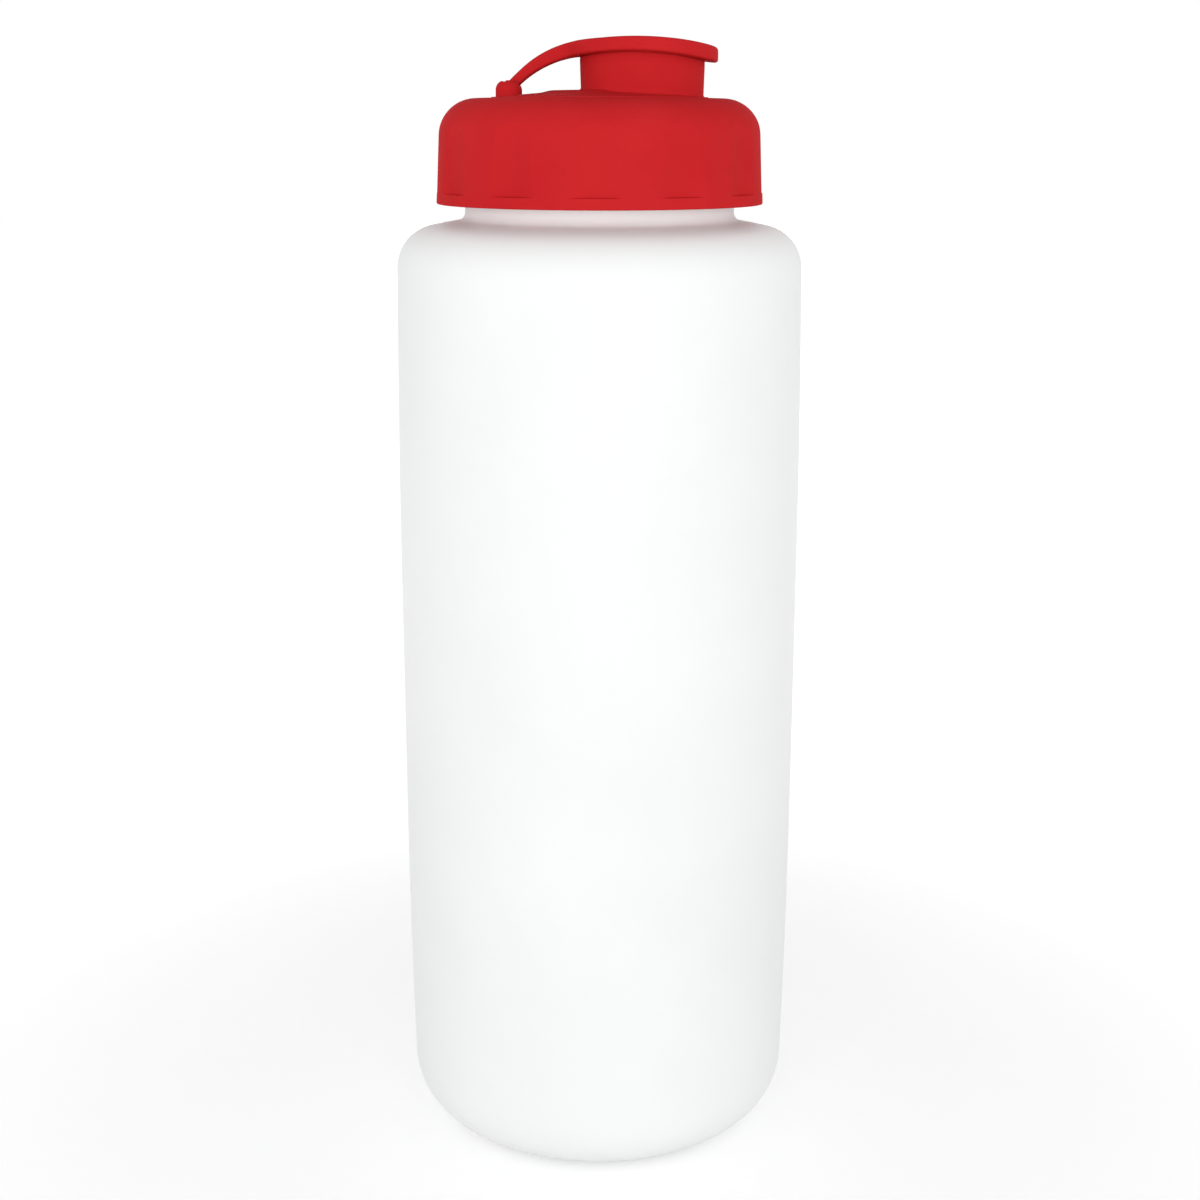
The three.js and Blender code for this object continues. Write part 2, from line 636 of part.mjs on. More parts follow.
function flipCap() {
  const barrel = barAlongY(STRAP_TAIL_THICKNESS / 2, STRAP_WIDTH).translate(HINGE_X, 0, HINGE_Z);
  const pinSpan = STRAP_WIDTH + 2 * (SIDE_GAP + PIN_LENGTH);
  const pin = barAlongY(PIN_RADIUS, pinSpan).translate(HINGE_X, 0, HINGE_Z);
  return solid(capPlate()).add(solid(barrel)).add(solid(pin)).add(solid(capPlug()));
}

function part(name, manifold, material) {
  const mesh = new THREE.Mesh(geometryOf(manifold), material);
  mesh.name = name;
  return mesh;
}

const sauceBottle = new THREE.Group();
sauceBottle.add(part('bottle', bottle(), whitePlastic()));
sauceBottle.add(part('lid_gasket', gasket(), softLiner()));
sauceBottle.add(part('screw_lid', screwLid(), redPlastic()));
sauceBottle.add(part('flip_cap', flipCap(), redPlastic()));

export default sauceBottle;
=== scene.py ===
import math

import bmesh
import bpy
import numpy as np
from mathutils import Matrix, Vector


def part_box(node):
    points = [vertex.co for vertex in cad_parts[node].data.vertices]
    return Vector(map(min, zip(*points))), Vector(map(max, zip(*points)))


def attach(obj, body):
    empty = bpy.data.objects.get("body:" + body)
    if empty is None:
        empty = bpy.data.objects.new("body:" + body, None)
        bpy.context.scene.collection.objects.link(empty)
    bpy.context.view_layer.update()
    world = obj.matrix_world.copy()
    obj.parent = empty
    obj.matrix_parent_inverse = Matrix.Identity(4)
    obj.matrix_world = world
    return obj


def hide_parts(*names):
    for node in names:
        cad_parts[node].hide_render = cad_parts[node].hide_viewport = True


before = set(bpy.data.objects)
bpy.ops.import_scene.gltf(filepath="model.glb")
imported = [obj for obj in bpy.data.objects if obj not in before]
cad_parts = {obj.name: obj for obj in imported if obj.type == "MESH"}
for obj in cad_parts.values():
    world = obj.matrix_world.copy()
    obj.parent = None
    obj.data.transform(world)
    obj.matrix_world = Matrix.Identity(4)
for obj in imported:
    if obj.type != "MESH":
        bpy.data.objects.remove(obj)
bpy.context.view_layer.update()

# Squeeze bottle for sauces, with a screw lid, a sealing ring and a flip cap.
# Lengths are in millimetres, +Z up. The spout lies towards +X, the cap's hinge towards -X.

MILLIMETRE = 0.001
FULL_TURN = 2 * math.pi


def node_box(name):
    """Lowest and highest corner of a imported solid, in millimetres."""
    low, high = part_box(name)
    return np.array(low) / MILLIMETRE, np.array(high) / MILLIMETRE


bottle_high = node_box("bottle")[1]
ring_low, ring_high = node_box("lid_gasket")
lid_low, lid_high = node_box("screw_lid")

# Bottle
BODY_RADIUS = 43.0
BODY_HEEL_RADIUS = 42.0
BODY_LOWER_RADIUS = 42.7
BODY_TOP_RADIUS = 42.5
BODY_TOP_HEIGHT = 191.0
BODY_LOWER_SHARE = 0.23
BODY_WIDEST_SHARE = 0.71
BODY_WALL = 1.4
HEEL_ROUND = 14.0
SHOULDER_ROUND = 8.8
SHOULDER_SLOPE = math.radians(10)
STANDING_RING_WIDTH = 4.5
PUSH_UP_HEIGHT = 3.6
PUSH_UP_SLOPE_WIDTH = 3.2
PUSH_UP_ROUND = 1.6
PINCH_LENGTH = 34.0
PINCH_WIDTH = 1.2
PINCH_HEIGHT = 0.7
PINCH_FADE = 1.0
NECK_RADIUS = 28.1
NECK_FILLET = 1.9
NECK_WAIST_HEIGHT = 2.0
NECK_WAIST_ROUND = 0.6
NECK_INSIDE_ROUND = 0.5
MOUTH_RADIUS = 27.0
MOUTH_HEIGHT = bottle_high[2]
FINISH_RADIUS = 29.5
FINISH_EDGE = 0.5
FINISH_FOOT_ROUND = 0.4

# Screw thread
THREAD_LEAD = 5.0
THREAD_HEIGHT = 1.6
THREAD_EMBED = 0.4
THREAD_CREST_ROUND = 0.45
THREAD_FADE = math.radians(40)
BOTTLE_THREAD_WIDTHS = (3.2, 1.6)
BOTTLE_THREAD_TURNS = 1.5
BOTTLE_THREAD_DROP = 12.4
LID_THREAD_WIDTHS = (2.6, 1.3)
LID_THREAD_TURNS = 1.25
LID_THREAD_RISE = 3.3

# Sealing ring
RING_SIDE_GAP = 0.3
RING_EDGE_ROUND = 0.35

# Screw lid
LID_HEIGHT = 21.3
LID_RIM = lid_low[2]
LID_TOP = LID_RIM + LID_HEIGHT
LID_RIM_RADIUS = lid_high[0]
LID_SKIRT_TOP_RADIUS = 33.4
LID_SHOULDER_ROUND = 7.8
LID_TOP_THICKNESS = 2.35
LID_SHOULDER_WALL = 1.35
LID_EDGE_ROUND = 0.3
LID_LEAD_IN = 0.6
LID_LEAD_IN_ROUND = 0.15
LID_BORE_RADIUS = 31.6
LID_UNDERSIDE = LID_TOP - LID_TOP_THICKNESS
LID_PLUG_RADIUS = 26.5
LID_PLUG_WALL = 1.3
LID_PLUG_DEPTH = 4.0
LID_PLUG_ROUND = 0.3
LID_PLUG_FOOT_ROUND = 0.2
LID_PLUG_LANDING = 1.0
SHOULDER_CENTRE_RADIUS = LID_SKIRT_TOP_RADIUS - LID_SHOULDER_ROUND
SHOULDER_CENTRE_HEIGHT = LID_TOP - LID_SHOULDER_ROUND
DOME_RADIUS = 22.4
DOME_RISE = 1.1
PANEL_RADIUS = 12.3
PANEL_STEP = 0.48
PANEL_STEP_WIDTH = 2.0
PANEL_RISE = 0.25
DOME_FOOT_STEP = 0.22
DOME_FOOT_WIDTH = 0.03
TOP_SOFTNESS = 0.3
TOP_SOFTNESS_STEP = 0.05

# Grip flutes round the lid's skirt
FLUTE_COUNT = 12
FLUTE_RADIUS = 30.0
FLUTE_DEPTH = 0.95
FLUTE_DRAFT = math.radians(1)
FLUTE_LEDGE_HEIGHT = 2.2
FLUTE_LEDGE_SOFTNESS = 0.22
FLUTE_LEDGE_FOOT = 0.1
FLUTE_EDGE = 0.05
FLUTE_TURN = math.radians(-1.2)

# Spout
SPOUT_OFFSET = 8.75
SPOUT_RADIUS = 12.68
SPOUT_FLARE = 0.17
SPOUT_WALL = 1.8
SPOUT_RIM_ROUND = 0.12
SPOUT_RIM_BAND = 1.2
SPOUT_FOOT_ROUND = 0.4

# Flip cap
CROWN_HEIGHT = 11.9
CROWN_RADIUS = 87.5
CROWN_SETBACK = 1.9
CAP_DISC_RADIUS = 15.7
CAP_THICKNESS = 2.75
CAP_TOP_ROUND = 0.7
CAP_UNDER_ROUND = 0.65
CAP_SEAT_GAP = 0.2
TIP_DROP = 0.3
TIP_DROP_SETBACK = 10.0
SEAL_LAND_GAP = 0.04
SEAL_LAND_INSET = 0.12
STRAP_BEND_START = 12.5
STRAP_WIDTH = 7.2
STRAP_TAIL_THICKNESS = 2.0
STRAP_SWELL = 0.2
STRAP_SWELL_START = 4.0
STRAP_FLARE_RADIUS = 4.5
PLUG_RADIUS = 10.5
PLUG_DEPTH = 3.2
PLUG_WALL = 1.4
PLUG_TAPER = 1.0
PLUG_TOP_ROUND = 0.1
PLUG_SEAT_ROUND = 0.3
PLUG_LIP_INNER_ROUND = 0.5
PLUG_LIP_OUTER_ROUND = 0.6

# Snap-in hinge
HINGE_X = -18.75
HINGE_RISE = 1.75
HINGE_Z = LID_TOP + HINGE_RISE
PIN_RADIUS = 0.85
PIN_LENGTH = 1.9
PIN_GAP = 0.2
PIN_TIP_ROUND = 0.25
PIN_FOOT_ROUND = 0.1
BARREL_ROUND = 0.15
HINGE_SIDE_GAP = 0.3
EAR_RADIUS = 2.5
EAR_HEIGHT = 3.5
EAR_ROUND = 1.9
EAR_DEPTH = 3.9
EAR_EMBED = 1.5
SNAP_MOUTH = 1.3
SNAP_LEAN = math.radians(22)
SNAP_NOTCH_DEPTH = 0.25
SNAP_NOTCH_WIDTH = 0.7
SNAP_NOTCH_ROUND = 0.15
CUT_OVERREACH = 1.0

# Columns and rows of the grids
BODY_COLUMNS = 360
LID_COLUMNS = 576
PLUG_COLUMNS = 192
SMALL_COLUMNS = 96
WALL_ROW_SPACING = 5.0
BASE_ROWS = 34
THREAD_ROWS_PER_TURN = 96
BORE_ROWS = 6
SPOUT_ROWS = 7
LID_TOP_ROWS = 46
LID_UNDERSIDE_ROWS = 14
LEDGE_ROWS = 6
STRAP_ROWS = 64
FLARE_ROWS = 15
DISC_ROWS = 90
RIB_POINTS = 15
RIB_EDGE_POINTS = 9

# Innermost circles of the surfaces that close in a point
BASE_POLE_RADIUS = 0.12
INSIDE_POLE_RADIUS = 0.4
EAR_POLE_RADIUS = 0.05
PIN_POLE_RADIUS = 0.03

# Points closer than this many metres are one, and edges sharper than the angle stay crisp
MERGE_REACH = 1e-7
SHARP_ANGLE = math.radians(38)


# Outlines

def arc(centre, radius, start, end, steps):
    """Points at equal angles on a circle, from start to end in degrees."""
    angle = np.radians(np.linspace(start, end, steps + 1))
    return np.array(centre) + radius * np.column_stack([np.cos(angle), np.sin(angle)])


def rounded_outline(corners, steps=6):
    """Straight runs between corners (x, y, round). A corner with a round gives way to an arc
    of that radius that touches both of its runs."""
    points = [np.array(corners[0][:2])]
    for before, corner, after in zip(corners, corners[1:], corners[2:]):
        here = np.array(corner[:2])
        back = np.array(before[:2]) - here
        on = np.array(after[:2]) - here
        back = back / np.linalg.norm(back)
        on = on / np.linalg.norm(on)
        half = math.acos(np.clip(back @ on, -1, 1)) / 2
        middle = (back + on) / np.linalg.norm(back + on)
        centre = here + middle * corner[2] / math.sin(half)
        start = here + back * corner[2] / math.tan(half) - centre
        end = here + on * corner[2] / math.tan(half) - centre
        first = math.atan2(start[1], start[0])
        swing = (math.atan2(end[1], end[0]) - first + math.pi) % FULL_TURN - math.pi
        angle = first + swing * np.linspace(0, 1, steps + 1)
        points.extend(centre + corner[2] * np.column_stack([np.cos(angle), np.sin(angle)]))
    points.append(np.array(corners[-1][:2]))
    return np.vstack(points)


def spaced(outline, longest):
    """The outline with points added on its straight runs, so that none is longer than longest."""
    runs = []
    for start, end in zip(outline, outline[1:]):
        pieces = max(1, math.ceil(np.linalg.norm(end - start) / longest))
        share = np.linspace(0, 1, pieces + 1)[:-1, None]
        runs.append(start + (end - start) * share)
    return np.vstack([*runs, outline[-1:]])


def smooth_through(points, steps):
    """A curve through the points: between two of them, the cubic whose slope at each end is
    half the chord between that end's neighbours."""
    padded = np.vstack([points[:1], points, points[-1:]])
    place = np.linspace(0, len(points) - 1, steps + 1)
    first = np.minimum(place.astype(int), len(points) - 2)
    t = (place - first)[:, None]
    before, here, there, after = (padded[first + k] for k in range(4))
    leave, arrive = (there - before) / 2, (after - here) / 2
    return ((2 * t**3 - 3 * t**2 + 1) * here + (t**3 - 2 * t**2 + t) * leave
            + (3 * t**2 - 2 * t**3) * there + (t**3 - t**2) * arrive)


def smoothstep(value, start, end):
    """0 before start, 1 after end, and 3t^2 - 2t^3 between them."""
    t = np.clip((value - start) / (end - start), 0, 1)
    return t * t * (3 - 2 * t)


# Surfaces

def revolved(outline, columns, centre=(0.0, 0.0)):
    """Rows follow the outline (radius, height); columns carry it round an upright axis."""
    angle = FULL_TURN * np.arange(columns) / columns
    x = centre[0] + outline[:, :1] * np.cos(angle)
    y = centre[1] + outline[:, :1] * np.sin(angle)
    z = outline[:, 1:] + 0 * angle
    return np.stack([x, y, z], axis=-1)


def grid_quads(rows, columns, rows_join, columns_join=True):
    """Four corners of each cell between neighbouring rows and columns."""
    row = np.arange(rows if rows_join else rows - 1)[:, None]
    column = np.arange(columns if columns_join else columns - 1)[None, :]
    next_row = (row + 1) % rows
    next_column = (column + 1) % columns
    corners = [row * columns + column, row * columns + next_column,
               next_row * columns + next_column, next_row * columns + column]
    return np.stack(np.broadcast_arrays(*corners), axis=-1).reshape(-1, 4)


def enclosed_volume(points, quads, triangles):
    """A sixth of the sum of a.(b x c) over all triangles: negative when faces point inwards."""
    thirds = np.concatenate([quads[:, [0, 1, 2]], quads[:, [0, 2, 3]], triangles])
    a, b, c = (points[thirds[:, k]] for k in range(3))
    return np.einsum("ij,ij->i", a, np.cross(b, c)).sum() / 6


def mesh_piece(name, points, quads, triangles, merge=False):
    """A piece from points in millimetres and its faces, turned to face outwards."""
    triangles = np.asarray(triangles, dtype=int).reshape(-1, 3)
    if enclosed_volume(points, quads, triangles) < 0:
        quads, triangles = quads[:, ::-1], triangles[:, ::-1]
    sizes = np.concatenate([np.full(len(quads), 4), np.full(len(triangles), 3)])
    corners = np.concatenate([quads.ravel(), triangles.ravel()])
    mesh = bpy.data.meshes.new(name)
    mesh.vertices.add(len(points))
    mesh.vertices.foreach_set("co", (points * MILLIMETRE).ravel())
    mesh.loops.add(len(corners))
    mesh.loops.foreach_set("vertex_index", corners)
    mesh.polygons.add(len(sizes))
    mesh.polygons.foreach_set("loop_start", np.cumsum(sizes) - sizes)
    mesh.update(calc_edges=True)
    if merge:
        merge_doubles(mesh)
    finish_shading(mesh)
    piece = bpy.data.objects.new(name, mesh)
    bpy.context.scene.collection.objects.link(piece)
    return piece


def merge_doubles(mesh):
    """Joins points that lie on each other, so that seams and poles are closed."""
    work = bmesh.new()
    work.from_mesh(mesh)
    bmesh.ops.remove_doubles(work, verts=work.verts, dist=MERGE_REACH)
    work.to_mesh(mesh)
    work.free()


def finish_shading(mesh):
    """Smooth faces, with the sharp edges kept crisp."""
    mesh.validate()
    mesh.polygons.foreach_set("use_smooth", np.ones(len(mesh.polygons), dtype=bool))
    mesh.set_sharp_from_angle(angle=SHARP_ANGLE)


def ring_surface(name, grid):
    """A surface whose last row joins its first, as on a ring."""
    return mesh_piece(name, grid.reshape(-1, 3), grid_quads(*grid.shape[:2], True), [])


def ended_surface(name, grid, merge=False):
    """A surface whose two end rows are closed by a fan about their middle."""
    rows, columns = grid.shape[:2]
    points = np.vstack([grid.reshape(-1, 3), grid[0].mean(axis=0), grid[-1].mean(axis=0)])
    column = np.arange(columns)
    beside = (column + 1) % columns
    first, last = len(points) - 2, len(points) - 1
    start = (rows - 1) * columns
    start_fan = np.column_stack([np.full(columns, first), beside, column])
    end_fan = np.column_stack([np.full(columns, last), start + column, start + beside])
    fans = np.vstack([start_fan, end_fan])
    return mesh_piece(name, points, grid_quads(rows, columns, False), fans, merge)


def seat(piece, body, node, material):
    """The piece takes its material and rides on its body, and the solid that it stands for is
    hidden.
    """
    piece.data.materials.append(material)
    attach(piece, body)
    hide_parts(node)


# Bottle

def wall_outline(depth):
    """The body's wall at a depth under its skin: heel arc, side curve and shoulder arc."""
    heel_centre = (BODY_HEEL_RADIUS - HEEL_ROUND, HEEL_ROUND)
    shoulder_centre = (BODY_TOP_RADIUS - SHOULDER_ROUND, BODY_TOP_HEIGHT)
    side_height = BODY_TOP_HEIGHT - HEEL_ROUND
    side = smooth_through(np.array([
        (BODY_HEEL_RADIUS - depth, HEEL_ROUND),
        (BODY_LOWER_RADIUS - depth, HEEL_ROUND + BODY_LOWER_SHARE * side_height),
        (BODY_RADIUS - depth, HEEL_ROUND + BODY_WIDEST_SHARE * side_height),
        (BODY_TOP_RADIUS - depth, BODY_TOP_HEIGHT),
    ]), steps=40)
    slope_start = 90 - math.degrees(SHOULDER_SLOPE)
    return np.vstack([
        arc(heel_centre, HEEL_ROUND - depth, -90, 0, steps=16),
        side[1:-1],
        arc(shoulder_centre, SHOULDER_ROUND - depth, 0, slope_start, steps=12),
    ])


def slope_at(end, radius):
    """Height of the shoulder's slope at a radius, from the end of the shoulder's arc."""
    return end[1] + (end[0] - radius) * math.tan(SHOULDER_SLOPE)


def bottle_shell():
    """One outline (radius, height) from the middle of the base up the outside, over the lip and
    down the inside, turned about the bottle's axis. Under the base it is drawn down by the
    pinch ridge: full height along a line, falling off as exp(-(across / half width)^4)."""
    outer, inner = wall_outline(0), wall_outline(BODY_WALL)
    ring_inner = outer[0, 0] - STANDING_RING_WIDTH
    push_up_radius = ring_inner - PUSH_UP_SLOPE_WIDTH
    middle = np.geomspace(BASE_POLE_RADIUS, push_up_radius - 2 * PUSH_UP_ROUND, BASE_ROWS)
    base_middle = np.column_stack([middle, np.full_like(middle, PUSH_UP_HEIGHT)])
    base_ring = rounded_outline([
        (middle[-1], PUSH_UP_HEIGHT, 0),
        (push_up_radius, PUSH_UP_HEIGHT, PUSH_UP_ROUND),
        (ring_inner, 0, PUSH_UP_ROUND / 2),
        (outer[0, 0], 0, 0),
    ])
    fillet_x = NECK_RADIUS + NECK_FILLET
    fillet_z = slope_at(outer[-1], fillet_x) + NECK_FILLET / math.cos(SHOULDER_SLOPE)
    waist_top = fillet_z + NECK_WAIST_HEIGHT
    neck = rounded_outline([
        (NECK_RADIUS, fillet_z, 0),
        (NECK_RADIUS, waist_top, NECK_WAIST_ROUND),
        (FINISH_RADIUS, waist_top + FINISH_RADIUS - NECK_RADIUS, FINISH_FOOT_ROUND),
        (FINISH_RADIUS, MOUTH_HEIGHT, FINISH_EDGE),
        (MOUTH_RADIUS, MOUTH_HEIGHT, FINISH_EDGE),
        (MOUTH_RADIUS, slope_at(inner[-1], MOUTH_RADIUS), NECK_INSIDE_ROUND),
        tuple(inner[-1]) + (0,),
    ], steps=4)
    fillet = arc((fillet_x, fillet_z), NECK_FILLET,
                 270 - math.degrees(SHOULDER_SLOPE), 180, steps=5)
    floor = rounded_outline([
        (inner[0, 0], BODY_WALL, 0),
        (ring_inner, BODY_WALL, PUSH_UP_ROUND),
        (push_up_radius, PUSH_UP_HEIGHT + BODY_WALL, PUSH_UP_ROUND),
        (INSIDE_POLE_RADIUS, PUSH_UP_HEIGHT + BODY_WALL, 0),
    ])
    rest = np.vstack([outer, fillet[:-1], neck, inner[::-1][1:], floor[1:]])
    outline = np.vstack([base_middle[:-1], base_ring[:-1], spaced(rest, WALL_ROW_SPACING)])
    grid = revolved(outline, BODY_COLUMNS)
    under = slice(0, len(base_middle))
    along, across = np.abs(grid[under, :, 0]), grid[under, :, 1]
    ridge = np.exp(-(across / (PINCH_WIDTH / 2)) ** 4)
    ridge = ridge * (1 - smoothstep(along, PINCH_LENGTH / 2 - PINCH_FADE, PINCH_LENGTH / 2))
    grid[under, :, 2] -= PINCH_HEIGHT * ridge
    return ended_surface("bottle_shell", grid)


def thread_ridge(name, wall, outwards, widths, turns, start_angle, start_z):
    """A rounded trapezoid carried up a helix of one lead per turn, as
    (r cos a, r sin a, z + lead a / turn). Its height grows from nothing at both ends as the
    sine of the angle from the end, and its foot lies inside the wall."""
    base, crest = widths
    section = rounded_outline([
        (-THREAD_EMBED, -base / 2, 0),
        (THREAD_HEIGHT, -crest / 2, THREAD_CREST_ROUND),
        (THREAD_HEIGHT, crest / 2, THREAD_CREST_ROUND),
        (-THREAD_EMBED, base / 2, 0),
    ], steps=5)
    turned = np.linspace(0, turns * FULL_TURN, int(THREAD_ROWS_PER_TURN * turns))[:, None]
    from_end = np.minimum(turned, turns * FULL_TURN - turned)
    full = np.sin(math.pi / 2 * np.minimum(1, from_end / THREAD_FADE))
    sunk = (THREAD_EMBED / 2) / (THREAD_HEIGHT + THREAD_EMBED)
    lift = (section[:, 0] + THREAD_EMBED) * (sunk + (1 - sunk) * full) - THREAD_EMBED
    radius = wall + outwards * lift
    angle = start_angle + turned
    z = start_z + THREAD_LEAD * turned / FULL_TURN + section[:, 1]
    grid = np.stack([radius * np.cos(angle), radius * np.sin(angle), z], axis=-1)
    return ended_surface(name, grid)


# Sealing ring

def sealing_ring():
    """A flat ring with softly rounded edges, turned about the bottle's axis."""
    inner, outer = LID_PLUG_RADIUS + RING_SIDE_GAP, ring_high[0]
    middle = (inner + outer) / 2
    low, high = ring_low[2], ring_high[2]
    section = rounded_outline([
        (middle, low, 0), (outer, low, RING_EDGE_ROUND), (outer, high, RING_EDGE_ROUND),
        (inner, high, RING_EDGE_ROUND), (inner, low, RING_EDGE_ROUND), (middle, low, 0),
    ])
    return ring_surface("sealing_ring", revolved(section[:-1], BODY_COLUMNS))


# Screw lid

def softened(radii, heights):
    """A broken line over the radius, whose corners are blurred by a running mean with the
    weight exp(-(reach / softness)^2). Gives the height at any radius."""
    radius = np.arange(0, LID_RIM_RADIUS, TOP_SOFTNESS_STEP)
    reach = np.arange(-4 * TOP_SOFTNESS, 4 * TOP_SOFTNESS, TOP_SOFTNESS_STEP)
    weight = np.exp(-(reach / TOP_SOFTNESS) ** 2)
    height = np.interp(np.abs(radius[:, None] + reach), radii, heights) @ (weight / weight.sum())
    return lambda r: np.interp(r, radius, height)


# Heights of the lid's top and of its underside, over the radius
lid_outside = softened(
    [0, PANEL_RADIUS - PANEL_STEP_WIDTH, PANEL_RADIUS, DOME_RADIUS, LID_RIM_RADIUS],
    [LID_TOP + DOME_RISE + PANEL_STEP + PANEL_RISE, LID_TOP + DOME_RISE + PANEL_STEP,
     LID_TOP + DOME_RISE, LID_TOP + DOME_FOOT_STEP, LID_TOP + DOME_FOOT_STEP])
lid_inside = softened(
    [0, PANEL_RADIUS, DOME_RADIUS, LID_RIM_RADIUS],
    [LID_UNDERSIDE + DOME_RISE, LID_UNDERSIDE + DOME_RISE, LID_UNDERSIDE, LID_UNDERSIDE])

# Centre line of the flip cap: a wide arc over the spout, then a tighter one to the hinge
crown_x = SPOUT_OFFSET - CROWN_SETBACK
crown_z = LID_TOP + CROWN_HEIGHT - CROWN_RADIUS
crown_line = CROWN_RADIUS - CAP_THICKNESS / 2
bend_angle = math.asin((SPOUT_OFFSET - STRAP_BEND_START - crown_x) / crown_line)
bend_normal = np.array([math.sin(bend_angle), math.cos(bend_angle)])
bend_point = np.array([crown_x, crown_z]) + bend_normal * crown_line
bend_to_hinge = np.array([HINGE_X, HINGE_Z]) - bend_point
strap_line = -(bend_to_hinge @ bend_to_hinge) / (2 * (bend_to_hinge @ bend_normal))
strap_x, strap_z = bend_point - bend_normal * strap_line
hinge_angle = math.atan2(HINGE_X - strap_x, HINGE_Z - strap_z)
bend_along = bend_angle * crown_line
tail_along = bend_along + (hinge_angle - bend_angle) * strap_line
disc_along = math.asin((SPOUT_OFFSET - crown_x) / crown_line) * crown_line


def half_thickness(along, side):
    """Half the cap's thickness at a distance along its centre line, above it (side 1) or under
    it (side -1). Both halves grow from the hinge to the end of the strap. The strap's top
    swells by half a sine wave that starts a little way off the hinge, so that the open cap
    clears the lid, and the disc's underside drops a little more towards its tip."""
    share = smoothstep(along, tail_along, bend_along)
    half = (STRAP_TAIL_THICKNESS + (CAP_THICKNESS - STRAP_TAIL_THICKNESS) * share) / 2
    if side > 0:
        place = (along - tail_along - STRAP_SWELL_START) / (bend_along - tail_along)
        return half + STRAP_SWELL * np.sin(math.pi * np.clip(place, 0, 1))
    start, tip = disc_along - TIP_DROP_SETBACK, disc_along + CAP_DISC_RADIUS
    return half + TIP_DROP * smoothstep(along, start, tip)


def spout_rim_height(x):
    """The rim follows the cap's underside at a small gap, so that the closed cap seats on it."""
    angle = np.arcsin((x - crown_x) / crown_line)
    under = half_thickness(angle * crown_line, -1)
    return crown_z + crown_line * np.cos(angle) - under - CAP_SEAT_GAP


def fluted(radius, height, angle):
    """The skirt's radius with the flutes bitten out of it. A flute is a cylinder that leans in
    by its draft: at an angle t from its middle it lies at c cos t - sqrt(R^2 - (c sin t)^2).
    The smaller of skirt and flute is taken with a soft edge, and the flute ends at its ledge."""
    pitch = FULL_TURN / FLUTE_COUNT
    aside = (angle - FLUTE_TURN + pitch / 2) % pitch - pitch / 2
    ledge = LID_RIM + FLUTE_LEDGE_HEIGHT
    lean = (height - ledge) * math.tan(FLUTE_DRAFT)
    centre = LID_RIM_RADIUS - FLUTE_DEPTH + FLUTE_RADIUS - lean
    bite = centre * np.cos(aside) - np.sqrt(FLUTE_RADIUS**2 - (centre * np.sin(aside)) ** 2)
    lower = -FLUTE_EDGE * np.logaddexp(-radius / FLUTE_EDGE, -bite / FLUTE_EDGE)
    open_share = smoothstep(height, ledge, ledge + FLUTE_LEDGE_SOFTNESS)
    return radius + (lower - radius) * open_share


def circle(centre_x, radius, angle):
    """Points of a flat circle, as (x, y), in the last axis."""
    return np.stack([centre_x + radius * np.cos(angle), radius * np.sin(angle)], axis=-1)


